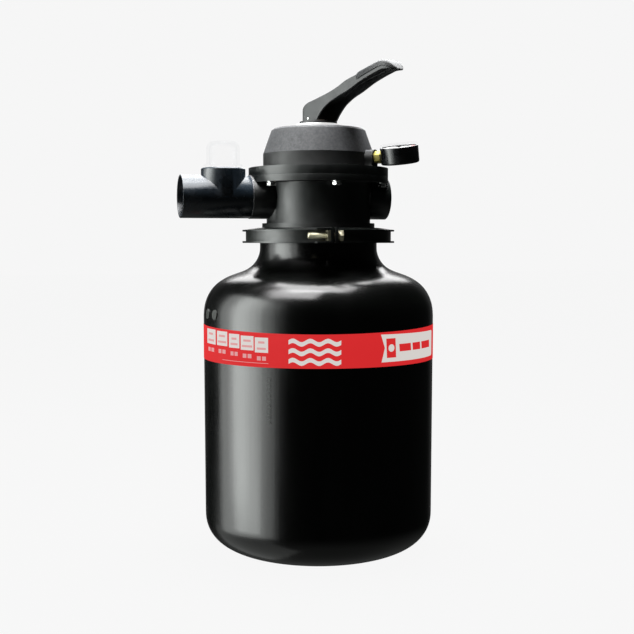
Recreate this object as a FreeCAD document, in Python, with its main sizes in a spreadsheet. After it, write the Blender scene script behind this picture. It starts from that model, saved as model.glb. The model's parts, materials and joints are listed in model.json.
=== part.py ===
import FreeCAD, Part

import math
import os
import re

import Sketcher
from FreeCAD import Placement, Rotation, Vector

# Sand filter with a clamped top-mount multiport valve.
# Frame: origin at the centre of the flat base, +Z up, +X along the return port,
# +Y along the pump port. Every length below is in millimetres, every angle in degrees.

DIMENSIONS = {
    # tank
    "tank_r_base": 149.2,
    "tank_r_top": 150.5,
    "tank_wall": 5.0,
    "base_round": 60.0,
    "shoulder_z": 369.0,
    "shoulder_round": 58.0,
    "crease_round": 12.0,
    "neck_r": 76.7,
    "neck_bore_r": 70.0,
    "tank_flange_r": 89.0,
    "tank_flange_z": 406.0,
    "joint_z": 412.5,
    "band_low_z": 253.5,
    "band_high_z": 295.2,
    "band_thick": 0.45,
    "band_gap": 0.05,
    "seal_groove_r": 75.6,
    "seal_wire_r": 1.75,
    # clamp
    "clamp_angle": -95.8,
    "clamp_low_z": 403.5,
    "clamp_high_z": 423.1,
    "clamp_lip_z": 420.4,
    "clamp_plate": 2.4,
    "clamp_top_plate": 2.0,
    "clamp_lip_r": 99.7,
    "clamp_web_r": 95.3,
    "clamp_bore_r": 90.2,
    "clamp_inner_r": 79.0,
    "clamp_gap": 1.5,
    "ear_thick": 4.0,
    "ear_r": 113.5,
    "ear_high_z": 422.8,
    "gusset_length": 17.0,
    "gusset_plate": 2.0,
    "bolt_pitch_r": 106.3,
    "bolt_r": 4.0,
    "bolt_hole_r": 4.3,
    "bolt_head_circum_r": 7.5,
    "bolt_head": 5.3,
    "bolt_washer_r": 6.9,
    "bolt_washer": 1.6,
    "square_nut": 13.0,
    "nut_thick": 4.0,
    "bolt_tail": 32.0,
    # valve body
    "spigot_low_z": 395.0,
    "spigot_r": 69.4,
    "spigot_bore_r": 62.5,
    "body_flange_r": 89.0,
    "body_flange_z": 419.0,
    "body_ring_r": 73.8,
    "body_ring_z": 429.0,
    "body_r": 68.0,
    "deck_low_z": 481.0,
    "deck_r": 91.3,
    "deck_z": 489.3,
    "spider_low_z": 480.3,
    "spider_z": 486.3,
    "spider_hole_in": 20.0,
    "spider_hole_out": 52.0,
    "rib_half": 2.0,
    "rib_low_z": 434.0,
    "port_z": 462.5,
    "port_r": 28.0,
    "port_end": 92.0,
    "port_stop": 63.5,
    "socket_r": 25.15,
    "port_way_r": 20.5,
    "hub_socket_r": 22.0,
    "hub_socket_low_z": 400.0,
    "lid_groove_r": 72.0,
    "lid_seal_wire_r": 1.5,
    # rotor and selector
    "gasket_gap": 0.05,
    "gasket_r": 60.0,
    "rotor_r": 57.0,
    "rotor_low_z": 489.4,
    "rotor_rim_z": 494.0,
    "rotor_seat_r": 22.0,
    "rotor_seat_z": 497.5,
    "shaft_r": 7.0,
    "shaft_bore_r": 7.07,
    "shaft_top_z": 570.5,
    "shaft_flat_z": 559.5,
    "shaft_flat_half": 5.0,
    "slip_in_r": 12.6,
    "slip_out_r": 20.0,
    "slip_thick": 1.5,
    "spring_mean_r": 16.2,
    "spring_wire_r": 1.5,
    "spring_turns": 6.0,
    # lid
    "lid_low_z": 489.4,
    "lid_flange_z": 500.5,
    "lid_band_r": 72.3,
    "lid_band_z": 519.0,
    "lid_knee_r": 69.7,
    "lid_knee_z": 526.5,
    "lid_cone_r": 61.6,
    "lid_cone_z": 549.2,
    "lid_top_r": 58.6,
    "lid_top_z": 551.7,
    "lid_wall": 5.0,
    "lid_hub_r": 12.2,
    "lid_hub_low_z": 536.0,
    "screw_pitch_r": 84.6,
    "screw_r": 3.0,
    "screw_hole_r": 3.3,
    "screw_head_r": 5.77,
    "screw_head": 4.2,
    "screw_top_z": 497.6,
    "screw_washer_r": 6.4,
    "screw_washer": 1.4,
    "insert_r": 4.3,
    "insert_low_z": 489.8,
    "insert_top_z": 497.8,
    # position plate, washer and handle
    "plate_r": 29.0,
    "plate_bore_r": 9.0,
    "plate_z": 557.8,
    "thrust_r": 24.5,
    "thrust_z": 561.2,
    "lever_angle": 30.0,
    "pin_z": 564.2,
    "pin_r": 1.5,
    "pin_hole_r": 1.56,
    "pin_half": 19.2,
    "handle_half": 19.5,
    "handle_base_z": 561.4,
    "grip_half": 14.5,
    "tip_reach": 140.5,
    "handle_wall": 2.6,
    # sight tee and glass
    "tee_r": 27.4,
    "tee_start": 92.4,
    "tee_end": 182.4,
    "tee_spigot_r": 25.1,
    "tee_spigot_end": 66.0,
    "tee_way_r": 21.5,
    "tee_socket": 26.0,
    "branch_x": 126.7,
    "branch_r": 28.4,
    "branch_z": 499.0,
    "rim_chamfer": 1.5,
    "branch_bore_r": 20.6,
    "glass_r": 21.2,
    "glass_wall": 2.4,
    "glass_flange_r": 24.6,
    "glass_flange_low_z": 499.1,
    "glass_flange_z": 503.5,
    "glass_top_z": 533.0,
    "glass_dome": 9.0,
    "glass_spigot_r": 20.5,
    "glass_spigot_low_z": 487.0,
    "sight_groove_r": 22.5,
    "sight_seal_wire_r": 1.0,
    # gauge
    "gauge_angle": -45.0,
    "gauge_rise": 1.1,
    "gauge_roll": 10.2,
    "gauge_out": 117.0,
    "gauge_z": 514.8,
    "gauge_r": 24.2,
    "gauge_back": 11.5,
    "gauge_wall": 1.6,
    "gauge_rim_r": 22.2,
    "case_top": 10.0,
    "dial_z": 8.3,
    "dial_thick": 0.6,
    "needle_low_z": 9.8,
    "needle_thick": 0.5,
    "lens_r": 23.7,
    "lens_bore_r": 20.4,
    "lens_lip": 9.3,
    "lens_under": 12.0,
    "lens_top": 13.6,
    "stem_drop": 2.0,
    "arbor_r": 1.0,
    "arbor_hole_r": 1.05,
    "stem_r": 6.5,
    "stem_hole_r": 6.55,
    "stem_way_r": 2.0,
    "stem_hex_r": 8.1,
    "stem_neck_r": 4.9,
    "boss_r": 10.2,
    "boss_end": 34.0,
    "boss_start": 53.0,
    "stem_start": 49.0,
    "web_half": 8.8,
    "bourdon_r": 15.5,
    "bourdon_wire_r": 1.6,
    # pipework and media inside the tank
    "riser_r": 16.0,
    "riser_bore_r": 13.6,
    "riser_low_z": 52.0,
    "riser_high_z": 440.0,
    "riser_hole_r": 16.06,
    "hub_r": 24.0,
    "hub_low_z": 20.0,
    "hub_high_z": 62.0,
    "lateral_z": 36.0,
    "lateral_r": 8.0,
    "lateral_bore_r": 6.4,
    "lateral_start": 24.2,
    "lateral_end": 118.0,
    "lateral_plug_r": 6.0,
    "lateral_count": 8.0,
    "slot_width": 0.8,
    "sand_z": 240.0,
    "sand_gap": 0.5,
    "diffuser_r": 46.0,
    "diffuser_low_z": 352.0,
    "diffuser_high_z": 386.0,
}

doc = FreeCAD.newDocument("SandFilter")
sheet = doc.addObject("Spreadsheet::Sheet", "dims")
for row, (alias, value) in enumerate(DIMENSIONS.items(), start=1):
    sheet.set(f"A{row}", alias)
    sheet.set(f"B{row}", str(value))
    sheet.setAlias(f"B{row}", alias)
doc.recompute()

# the screws keep clear of the three ports
SCREW_ANGLES = (0, 60, 140, 220, 300)

WORD = re.compile(r"[a-z]+(?:_[a-z]+)+")
subparts = []


def bind(text):
    """The expression with every dimension name pointing into the sheet."""
    return WORD.sub(lambda found: "dims." + found.group(0), str(text))


def value_of(text):
    """The number an expression gives now."""
    result = sheet.evalExpression(bind(text))
    return float(getattr(result, "Value", result))


def drive(thing, name, text):
    """Bind one property of an object to an expression."""
    thing.setExpression(name, bind(text))


def origin_part(body, role):
    return next(f for f in body.Origin.OriginFeatures if f.Role == role)


def new_body(label, turn=None):
    """An empty body, turned about the vertical axis when an angle is given."""
    body = doc.addObject("PartDesign::Body", label)
    body.Label = label
    if turn is not None:
        body.Placement = Placement(Vector(), Rotation(Vector(0, 0, 1), value_of(turn)))
        drive(body, "Placement.Rotation.Angle", turn)
    subparts.append(body)
    return body


def profile(body, name, corners, plane="XZ_Plane"):
    """A closed polygon whose corners are pairs of expressions."""
    sketch = body.newObject("Sketcher::SketchObject", name)
    sketch.AttachmentSupport = [(origin_part(body, plane), "")]
    sketch.MapMode = "FlatFace"
    add_polygon(sketch, corners)
    return sketch


def add_polygon(sketch, corners):
    points = [Vector(value_of(a), value_of(b), 0) for a, b in corners]
    first = sketch.GeometryCount
    count = len(points)
    for i in range(count):
        sketch.addGeometry(Part.LineSegment(points[i], points[(i + 1) % count]), False)
    for i in range(count):
        here = first + i
        after = first + (i + 1) % count
        sketch.addConstraint(Sketcher.Constraint("Coincident", here, 2, after, 1))
    for i, (a, b) in enumerate(corners):
        pin_corner(sketch, first + i, points[i], a, b)


def pin_corner(sketch, line, point, across, along):
    """Hold the start of a line at two driven distances from the origin."""
    for kind, number, text, axis in (
        ("DistanceX", point.x, across, -2),
        ("DistanceY", point.y, along, -1),
    ):
        if abs(number) < 1e-9:
            sketch.addConstraint(Sketcher.Constraint("PointOnObject", line, 1, axis))
            continue
        index = sketch.addConstraint(Sketcher.Constraint(kind, -1, 1, line, 1, number))
        drive(sketch, f"Constraints[{index}]", text)


def revolved(body, name, corners, groove=False):
    """Turn a polygon of (radius, height) corners about the body's vertical axis."""
    sketch = profile(body, name + "_sketch", corners)
    kind = "PartDesign::Groove" if groove else "PartDesign::Revolution"
    feature = body.newObject(kind, name)
    feature.Profile = sketch
    feature.ReferenceAxis = (sketch, ["V_Axis"])
    feature.Angle = 360
    body.Tip = feature
    return feature


def padded(body, name, corners, plane, depth, pocket=False):
    """Pad or pocket a polygon evenly to both sides of its plane."""
    sketch = profile(body, name + "_sketch", corners, plane)
    kind = "PartDesign::Pocket" if pocket else "PartDesign::Pad"
    feature = body.newObject(kind, name)
    feature.Profile = sketch
    feature.SideType = "Symmetric"
    feature.Length = value_of(depth)
    drive(feature, "Length", depth)
    body.Tip = feature
    return feature


def rounded(body, name, circles, radius, kind="Fillet"):
    """Round the circular edges that lie at the given radii and heights."""
    doc.recompute()
    base = body.Tip
    wanted = [(value_of(a), value_of(b)) for a, b in circles]
    edges = []
    for number, edge in enumerate(base.Shape.Edges, start=1):
        if not isinstance(edge.Curve, Part.Circle):
            continue
        centre = edge.Curve.Center
        for r, z in wanted:
            near = math.hypot(centre.x, centre.y) < 1e-3 and abs(centre.z - z) < 1e-3
            if near and abs(edge.Curve.Radius - r) < 1e-3:
                edges.append(f"Edge{number}")
    assert len(edges) == len(wanted), (body.Label, name, edges)
    feature = body.newObject("PartDesign::" + kind, name)
    feature.Base = (base, edges)
    prop = "Radius" if kind == "Fillet" else "Size"
    setattr(feature, prop, value_of(radius))
    drive(feature, prop, radius)
    body.Tip = feature
    return feature


AXES = {
    "+Z": Rotation(),
    "-Z": Rotation(Vector(1, 0, 0), 180),
    "+X": Rotation(Vector(0, 1, 0), 90),
    "-X": Rotation(Vector(0, 1, 0), -90),
    "+Y": Rotation(Vector(1, 0, 0), -90),
    "-Y": Rotation(Vector(1, 0, 0), 90),
}


def primitive(body, name, kind, sizes, at, axis="+Z"):
    """Add or cut a primitive whose sizes and position are expressions."""
    feature = body.newObject("PartDesign::" + kind, name)
    for prop, text in sizes.items():
        setattr(feature, prop, value_of(text))
        drive(feature, prop, text)
    feature.Placement = Placement(Vector(*map(value_of, at)), AXES[axis])
    for letter, text in zip("xyz", at):
        drive(feature, f"Placement.Base.{letter}", text)
    body.Tip = feature
    return feature


def rod(body, name, radius, length, at, axis="+Z", cut=False):
    kind = "SubtractiveCylinder" if cut else "AdditiveCylinder"
    return primitive(body, name, kind, {"Radius": radius, "Height": length}, at, axis)


def spoke_rods(body, name, radius, length, start, height, count, cut=False):
    """Rods that point outward from the vertical axis, evenly spaced round it."""
    kind = "SubtractiveCylinder" if cut else "AdditiveCylinder"
    for number in range(count):
        feature = body.newObject("PartDesign::" + kind, f"{name}_{number + 1}")
        for prop, text in (("Radius", radius), ("Height", length)):
            setattr(feature, prop, value_of(text))
            drive(feature, prop, text)
        angle = f"({number} * 360 / {count})"
        drive(
            feature,
            "Placement",
            f"placement(vector(({start}) * cos({angle}); ({start}) * sin({angle}); {height}); "
            f"rotation(vector(0; 0; 1); {angle}) * rotation(vector(0; 1; 0); 90))",
        )
        body.Tip = feature


def block(body, name, size, at, cut=False):
    kind = "SubtractiveBox" if cut else "AdditiveBox"
    sizes = dict(zip(("Length", "Width", "Height"), size))
    return primitive(body, name, kind, sizes, at)


def hexagon(body, name, radius, length, at, axis="+Z"):
    feature = primitive(
        body, name, "AdditivePrism", {"Circumradius": radius, "Height": length}, at, axis
    )
    feature.Polygon = 6
    return feature


def around(body, name, originals, count):
    """Repeat features evenly about the body's vertical axis."""
    doc.recompute()
    feature = body.newObject("PartDesign::PolarPattern", name)
    feature.Originals = originals
    feature.Axis = (origin_part(body, "Z_Axis"), [""])
    feature.Angle = 360
    feature.Occurrences = count
    body.Tip = feature
    doc.recompute()
    return feature


def on_pitch(angle, height):
    """A place on the lid's screw circle, at an angle in degrees from the front."""
    return (f"screw_pitch_r * sin({angle})", f"-screw_pitch_r * cos({angle})", height)


def ring(label, inner, outer, low, high, turn=None):
    """A plain washer about the vertical axis."""
    body = new_body(label, turn)
    revolved(body, label + "_ring", [(inner, low), (outer, low), (outer, high), (inner, high)])
    return body


def seal(label, mean, wire, height):
    """A round-section seal ring about the vertical axis."""
    torus = doc.addObject("Part::Torus", label)
    torus.Label = label
    torus.Radius1 = value_of(mean)
    torus.Radius2 = value_of(wire)
    drive(torus, "Radius1", mean)
    drive(torus, "Radius2", wire)
    torus.Placement = Placement(Vector(0, 0, value_of(height)), Rotation())
    drive(torus, "Placement.Base.z", height)
    subparts.append(torus)
    return torus


def on_gauge(thing):
    """Put an object built about the gauge's own centre into the gauge's pose."""
    drive(
        thing,
        "Placement",
        "placement(vector(gauge_out * sin(gauge_angle + 90); "
        "-gauge_out * cos(gauge_angle + 90); gauge_z); "
        "rotation(vector(0; 0; 1); gauge_angle) * rotation(vector(0; 1; 0); -gauge_rise)"
        " * rotation(vector(1; 0; 0); gauge_roll))",
    )


# ---------------------------------------------------------------- tank

tank = new_body("tank_shell")
revolved(
    tank,
    "shell",
    [
        ("0", "0"),
        ("tank_r_base", "0"),
        ("tank_r_top", "shoulder_z"),
        ("neck_r", "shoulder_z"),
        ("neck_r", "tank_flange_z"),
        ("tank_flange_r", "tank_flange_z"),
        ("tank_flange_r", "joint_z"),
        ("neck_bore_r", "joint_z"),
        ("neck_bore_r", "shoulder_z - tank_wall"),
        ("tank_r_top - tank_wall", "shoulder_z - tank_wall"),
        ("tank_r_base - tank_wall", "tank_wall"),
        ("0", "tank_wall"),
    ],
)
rounded(tank, "base_outside", [("tank_r_base", "0")], "base_round")
rounded(tank, "shoulder_outside", [("tank_r_top", "shoulder_z")], "shoulder_round")
rounded(tank, "crease_outside", [("neck_r", "shoulder_z")], "crease_round")
rounded(
    tank,
    "shoulder_inside",
    [("tank_r_top - tank_wall", "shoulder_z - tank_wall")],
    "shoulder_round - tank_wall",
)
rounded(
    tank,
    "base_inside",
    [("tank_r_base - tank_wall", "tank_wall")],
    "base_round - tank_wall",
)
revolved(
    tank,
    "seal_groove",
    [
        ("seal_groove_r - seal_wire_r - 0.3", "joint_z"),
        ("seal_groove_r - seal_wire_r - 0.3", "joint_z - 2 * seal_wire_r"),
        ("seal_groove_r + seal_wire_r + 0.3", "joint_z - 2 * seal_wire_r"),
        ("seal_groove_r + seal_wire_r + 0.3", "joint_z"),
    ],
    groove=True,
)

band = new_body("label_band")
BAND_IN_LOW = "tank_r_base + (tank_r_top - tank_r_base) * band_low_z / shoulder_z + band_gap"
BAND_IN_HIGH = "tank_r_base + (tank_r_top - tank_r_base) * band_high_z / shoulder_z + band_gap"
revolved(
    band,
    "band",
    [
        (BAND_IN_LOW, "band_low_z"),
        (BAND_IN_LOW + " + band_thick", "band_low_z"),
        (BAND_IN_HIGH + " + band_thick", "band_high_z"),
        (BAND_IN_HIGH, "band_high_z"),
    ],
)

seal("neck_oring", "seal_groove_r", "seal_wire_r - 0.02", "joint_z - seal_wire_r")

# ---------------------------------------------------------------- clamp


def plate_under(radius):
    """Height of the underside of the sloping top plate at a radius."""
    slope = "(clamp_high_z - clamp_lip_z) / (clamp_lip_r - clamp_inner_r)"
    return f"clamp_lip_z - clamp_top_plate + (clamp_lip_r - {radius}) * {slope}"


def clamp_half(label, turn):
    body = new_body(label, turn)
    revolved(
        body,
        "channel",
        [
            ("clamp_inner_r", "clamp_low_z"),
            ("clamp_lip_r", "clamp_low_z"),
            ("clamp_lip_r", "clamp_low_z + clamp_plate"),
            ("clamp_web_r", "clamp_low_z + clamp_plate"),
            ("clamp_web_r", plate_under("clamp_web_r")),
            ("clamp_lip_r", "clamp_lip_z - clamp_top_plate"),
            ("clamp_lip_r", "clamp_lip_z"),
            ("clamp_inner_r", "clamp_high_z"),
            ("clamp_inner_r", "clamp_high_z - clamp_top_plate"),
            ("clamp_bore_r", plate_under("clamp_bore_r")),
            ("clamp_bore_r", "clamp_low_z + clamp_plate"),
            ("clamp_inner_r", "clamp_low_z + clamp_plate"),
        ],
    )
    height = "clamp_high_z - clamp_low_z"
    block(
        body,
        "away_half",
        ("2 * clamp_lip_r + 20", "clamp_lip_r + 10", height + " + 10"),
        ("-clamp_lip_r - 10", "clamp_gap / 2 - clamp_lip_r - 10", "clamp_low_z - 5"),
        cut=True,
    )
    ear = ("ear_r - clamp_bore_r", "ear_thick", "ear_high_z - clamp_low_z")
    block(body, "plain_ear", ear, ("clamp_bore_r", "clamp_gap / 2", "clamp_low_z"))
    block(body, "nut_ear", ear, ("-ear_r", "clamp_gap / 2", "clamp_low_z"))
    gusset = (
        "ear_r - clamp_web_r",
        "gusset_length",
        "gusset_plate",
    )
    start = "clamp_gap / 2 + ear_thick"
    block(body, "low_gusset", gusset, ("-ear_r", start, "clamp_low_z"))
    block(body, "high_gusset", gusset, ("-ear_r", start, "clamp_lip_z - 0.2"))
    for side, name in (("", "plain_hole"), ("-", "nut_hole")):
        at = (side + "bolt_pitch_r", "0", "joint_z")
        rod(body, name, "bolt_hole_r", "ear_thick + 10", at, "+Y", cut=True)
    return body


clamp_half("clamp_half_right", "clamp_angle")
clamp_half("clamp_half_left", "clamp_angle + 180")

EAR_FACE = "clamp_gap / 2 + ear_thick"

HEAD_FACE = EAR_FACE + " + bolt_washer + 0.05"
NUT_FACE = "-(" + EAR_FACE + ") - 0.05"


def at_both_joints(body, name, make, radius, length, y, axis, **options):
    """Build one piece at each clamp joint, the second turned half a turn from the first."""
    other = {"+Y": "-Y", "-Y": "+Y"}[axis]
    near = ("bolt_pitch_r", y, "joint_z")
    far = ("-bolt_pitch_r", f"-({y})", "joint_z")
    make(body, "near_" + name, radius, length, near, axis, **options)
    make(body, "far_" + name, radius, length, far, other, **options)


bolts = new_body("clamp_bolts", "clamp_angle")
shank_length = HEAD_FACE + " + 0.5 + bolt_tail"
at_both_joints(bolts, "shank", rod, "bolt_r", shank_length, HEAD_FACE + " + 0.5", "-Y")
at_both_joints(bolts, "head", hexagon, "bolt_head_circum_r", "bolt_head", HEAD_FACE, "+Y")

washers = new_body("clamp_washers", "clamp_angle")
at_both_joints(washers, "disc", rod, "bolt_washer_r", "bolt_washer", EAR_FACE + " + 0.02", "+Y")
at_both_joints(washers, "bore", rod, "bolt_r + 0.1", "40", "-20", "+Y", cut=True)

nuts = new_body("clamp_nuts", "clamp_angle")
plate = ("square_nut", "nut_thick", "square_nut")
nut_low_z = "joint_z - square_nut / 2"
near = ("bolt_pitch_r - square_nut / 2", NUT_FACE + " - nut_thick", nut_low_z)
far = ("-bolt_pitch_r - square_nut / 2", "-(" + NUT_FACE + ")", nut_low_z)
block(nuts, "near_nut", plate, near)
block(nuts, "far_nut", plate, far)
at_both_joints(nuts, "bore", rod, "bolt_r + 0.02", "40", "0", "-Y", cut=True)

# ---------------------------------------------------------------- pipework and media

riser = ring("riser_pipe", "riser_bore_r", "riser_r", "riser_low_z", "riser_high_z")

hub = new_body("lateral_hub")
revolved(
    hub,
    "cup",
    [
        ("0", "hub_low_z"),
        ("hub_r", "hub_low_z"),
        ("hub_r", "hub_high_z"),
        ("riser_r + 0.05", "hub_high_z"),
        ("riser_r + 0.05", "riser_low_z - 0.05"),
        ("riser_bore_r", "riser_low_z - 0.05"),
        ("riser_bore_r", "hub_low_z + 4"),
        ("0", "hub_low_z + 4"),
    ],
)
spoke_rods(
    hub,
    "plug_hole",
    "lateral_plug_r + 0.05",
    "hub_r",
    "riser_bore_r - 1.5",
    "lateral_z",
    8,
    cut=True,
)

for number in range(8):
    pipe = new_body(f"lateral_{number + 1}", f"{number} * 360 / lateral_count")
    rod(
        pipe,
        "tube",
        "lateral_r",
        "lateral_end - lateral_start",
        ("lateral_start", "0", "lateral_z"),
        "+X",
    )
    rod(pipe, "plug", "lateral_plug_r", "9", ("lateral_start - 8.5", "0", "lateral_z"), "+X")
    rod(
        pipe,
        "way",
        "lateral_plug_r - 1.8",
        "lateral_end - lateral_start + 5.5",
        ("lateral_start - 9", "0", "lateral_z"),
        "+X",
        cut=True,
    )
    doc.recompute()
    slot = block(
        pipe,
        "slot",
        ("slot_width", "2 * lateral_r + 2", "lateral_r"),
        ("lateral_start + 8", "-lateral_r - 1", "lateral_z - lateral_r * 1.45"),
        cut=True,
    )
    doc.recompute()
    slots = pipe.newObject("PartDesign::LinearPattern", "slots")
    slots.Originals = [slot]
    slots.Direction = (origin_part(pipe, "X_Axis"), [""])
    slots.Length = 72
    slots.Occurrences = 10
    pipe.Tip = slots

sand = new_body("sand_bed")
SAND_R = "tank_r_base - tank_wall - sand_gap"
revolved(
    sand,
    "bed",
    [
        ("riser_r + sand_gap", "tank_wall + sand_gap"),
        (SAND_R, "tank_wall + sand_gap"),
        (SAND_R + " + 0.6", "sand_z"),
        ("riser_r + sand_gap", "sand_z"),
    ],
)
rounded(sand, "bed_round", [(SAND_R, "tank_wall + sand_gap")], "base_round - tank_wall + 2")
rod(sand, "hub_space", "hub_r + sand_gap", "hub_high_z + sand_gap", ("0", "0", "0"), cut=True)
spoke_rods(
    sand,
    "lateral_space",
    "lateral_r + sand_gap",
    "lateral_end - lateral_start + 4",
    "lateral_start - 3",
    "lateral_z",
    8,
    cut=True,
)

diffuser = new_body("top_diffuser")
revolved(
    diffuser,
    "cage",
    [
        ("riser_r + 0.1", "diffuser_low_z"),
        ("diffuser_r", "diffuser_low_z"),
        ("diffuser_r", "diffuser_high_z"),
        ("diffuser_r - 3", "diffuser_high_z"),
        ("diffuser_r - 3", "diffuser_low_z + 3"),
        ("riser_r + 3", "diffuser_low_z + 3"),
        ("riser_r + 3", "diffuser_high_z"),
        ("riser_r + 0.1", "diffuser_high_z"),
    ],
)
doc.recompute()
window = block(
    diffuser,
    "window",
    ("12", "5", "diffuser_high_z - diffuser_low_z - 12"),
    ("diffuser_r - 8", "-2.5", "diffuser_low_z + 6"),
    cut=True,
)
around(diffuser, "windows", [window], 16)
spoke = block(
    diffuser,
    "spoke",
    ("diffuser_r - riser_r - 4", "3", "4"),
    ("riser_r + 2", "-1.5", "diffuser_high_z - 4"),
)
around(diffuser, "spokes", [spoke], 4)

# ---------------------------------------------------------------- valve body

valve = new_body("valve_body")
revolved(
    valve,
    "shell",
    [
        ("spigot_bore_r", "spigot_low_z"),
        ("spigot_r", "spigot_low_z"),
        ("spigot_r", "joint_z + 0.05"),
        ("body_flange_r", "joint_z + 0.05"),
        ("body_flange_r", "body_flange_z"),
        ("body_ring_r", "body_flange_z"),
        ("body_ring_r", "body_ring_z"),
        ("body_r", "body_ring_z"),
        ("body_r", "deck_low_z"),
        ("deck_r", "deck_low_z"),
        ("deck_r", "deck_z"),
        ("spigot_bore_r", "deck_z"),
        ("spigot_bore_r", "spider_z"),
        ("hub_socket_r - 4", "spider_z"),
        ("hub_socket_r - 4", "spider_low_z"),
        ("spigot_bore_r", "spider_low_z"),
    ],
)
revolved(
    valve,
    "riser_socket",
    [
        ("riser_hole_r", "hub_socket_low_z"),
        ("hub_socket_r", "hub_socket_low_z"),
        ("hub_socket_r", "spider_low_z + 1"),
        ("riser_bore_r", "spider_low_z + 1"),
        ("riser_bore_r", "riser_high_z + 0.05"),
        ("riser_hole_r", "riser_high_z + 0.05"),
    ],
)
doc.recompute()
rib = block(
    valve,
    "rib",
    ("spigot_bore_r - hub_socket_r + 3", "2 * rib_half", "spider_low_z - rib_low_z + 1"),
    ("hub_socket_r - 1.5", "-rib_half", "rib_low_z"),
)
around(valve, "ribs", [rib], 6)

for name, axis, direction in (
    ("return", "+X", (1, 0)),
    ("waste", "-X", (-1, 0)),
    ("pump", "+Y", (0, 1)),
):

    def along(text):
        return tuple(f"{sign} * ({text})" if sign else "0" for sign in direction) + ("port_z",)

    rod(valve, name + "_stub", "port_r", "port_end - 64", along("64"), axis)
for name, axis, direction in (
    ("return", "+X", (1, 0)),
    ("waste", "-X", (-1, 0)),
    ("pump", "+Y", (0, 1)),
):
    rod(
        valve,
        name + "_socket",
        "socket_r",
        "port_end - port_stop + 1",
        tuple(f"{sign} * port_stop" if sign else "0" for sign in direction) + ("port_z",),
        axis,
        cut=True,
    )
    rod(
        valve,
        name + "_way",
        "port_way_r",
        "20",
        tuple(f"{sign} * (port_stop - 12)" if sign else "0" for sign in direction) + ("port_z",),
        axis,
        cut=True,
    )
doc.recompute()
spider_hole = rod(
    valve,
    "spider_hole",
    "13.5",
    "20",
    ("38", "0", "spider_low_z - 5"),
    cut=True,
)
spider_holes = around(valve, "spider_holes", [spider_hole], 6)
doc.recompute()
for angle in SCREW_ANGLES:
    rod(
        valve,
        f"screw_hole_{angle}",
        "screw_hole_r",
        "deck_z - deck_low_z + 4",
        on_pitch(angle, "deck_low_z - 2"),
        cut=True,
    )
revolved(
    valve,
    "deck_face",
    [("0", "deck_z"), ("port_end + 4", "deck_z"), ("port_end + 4", "deck_z + 5"), ("0", "deck_z + 5")],
    groove=True,
)
revolved(
    valve,
    "riser_seal_groove",
    [
        ("riser_hole_r - 0.5", "406"),
        ("riser_hole_r + 2.2", "406"),
        ("riser_hole_r + 2.2", "409"),
        ("riser_hole_r - 0.5", "409"),
    ],
    groove=True,
)
seal("riser_oring", "riser_r + 1.13", "1.06", "407.5")
seal("lid_oring", "lid_groove_r", "lid_seal_wire_r - 0.02", "lid_low_z + lid_seal_wire_r")

gasket = ring(
    "spider_gasket", "hub_socket_r - 3", "gasket_r", "spider_z + gasket_gap", "deck_z - gasket_gap"
)
doc.recompute()
gasket_hole = rod(gasket, "gasket_hole", "13", "20", ("38", "0", "spider_z - 5"), cut=True)
around(gasket, "gasket_holes", [gasket_hole], 6)

# ---------------------------------------------------------------- selector

rotor = new_body("rotor", "lever_angle")
revolved(
    rotor,
    "disc",
    [
        ("0", "rotor_low_z"),
        ("rotor_r", "rotor_low_z"),
        ("rotor_r", "rotor_rim_z"),
        ("rotor_seat_r", "rotor_seat_z"),
        ("shaft_r", "rotor_seat_z"),
        ("shaft_r", "shaft_top_z"),
        ("0", "shaft_top_z"),
    ],
)
for name, z in (("low", "lid_hub_low_z + 4"), ("high", "lid_hub_low_z + 10")):
    revolved(
        rotor,
        name + "_seal_groove",
        [
            ("shaft_r - 1.6", z + " - 1"),
            ("shaft_r + 1", z + " - 1"),
            ("shaft_r + 1", z + " + 1"),
            ("shaft_r - 1.6", z + " + 1"),
        ],
        groove=True,
    )
tongue = ("30", "15", "30")
block(rotor, "flat_front", tongue, ("-15", "-15 - shaft_flat_half", "shaft_flat_z"), cut=True)
block(rotor, "flat_back", tongue, ("-15", "shaft_flat_half", "shaft_flat_z"), cut=True)
rod(rotor, "pin_hole", "pin_r + 0.02", "40", ("-20", "0", "pin_z"), "+X", cut=True)
doc.recompute()
rod(rotor, "pump_way", "11.5", "10", ("0", "-38", "rotor_low_z - 5"), cut=True)
rod(rotor, "cross_way", "12", "2.5", ("0", "38", "rotor_low_z - 0.1"), cut=True)

orings = new_body("shaft_orings")
for name, z in (("low", "lid_hub_low_z + 4"), ("high", "lid_hub_low_z + 10")):
    torus = orings.newObject("PartDesign::AdditiveTorus", name + "_seal")
    torus.Radius1 = value_of("shaft_r - 0.78")
    torus.Radius2 = 0.78
    drive(torus, "Radius1", "shaft_r - 0.78")
    torus.Placement = Placement(Vector(0, 0, value_of(z)), Rotation())
    drive(torus, "Placement.Base.z", z)
    orings.Tip = torus

ring(
    "lower_slip_washer",
    "slip_in_r",
    "slip_out_r",
    "rotor_seat_z + 0.05",
    "rotor_seat_z + 0.05 + slip_thick",
)
ring(
    "upper_slip_washer",
    "slip_in_r",
    "slip_out_r",
    "lid_top_z - lid_wall - 0.05 - slip_thick",
    "lid_top_z - lid_wall - 0.05",
)

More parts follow.
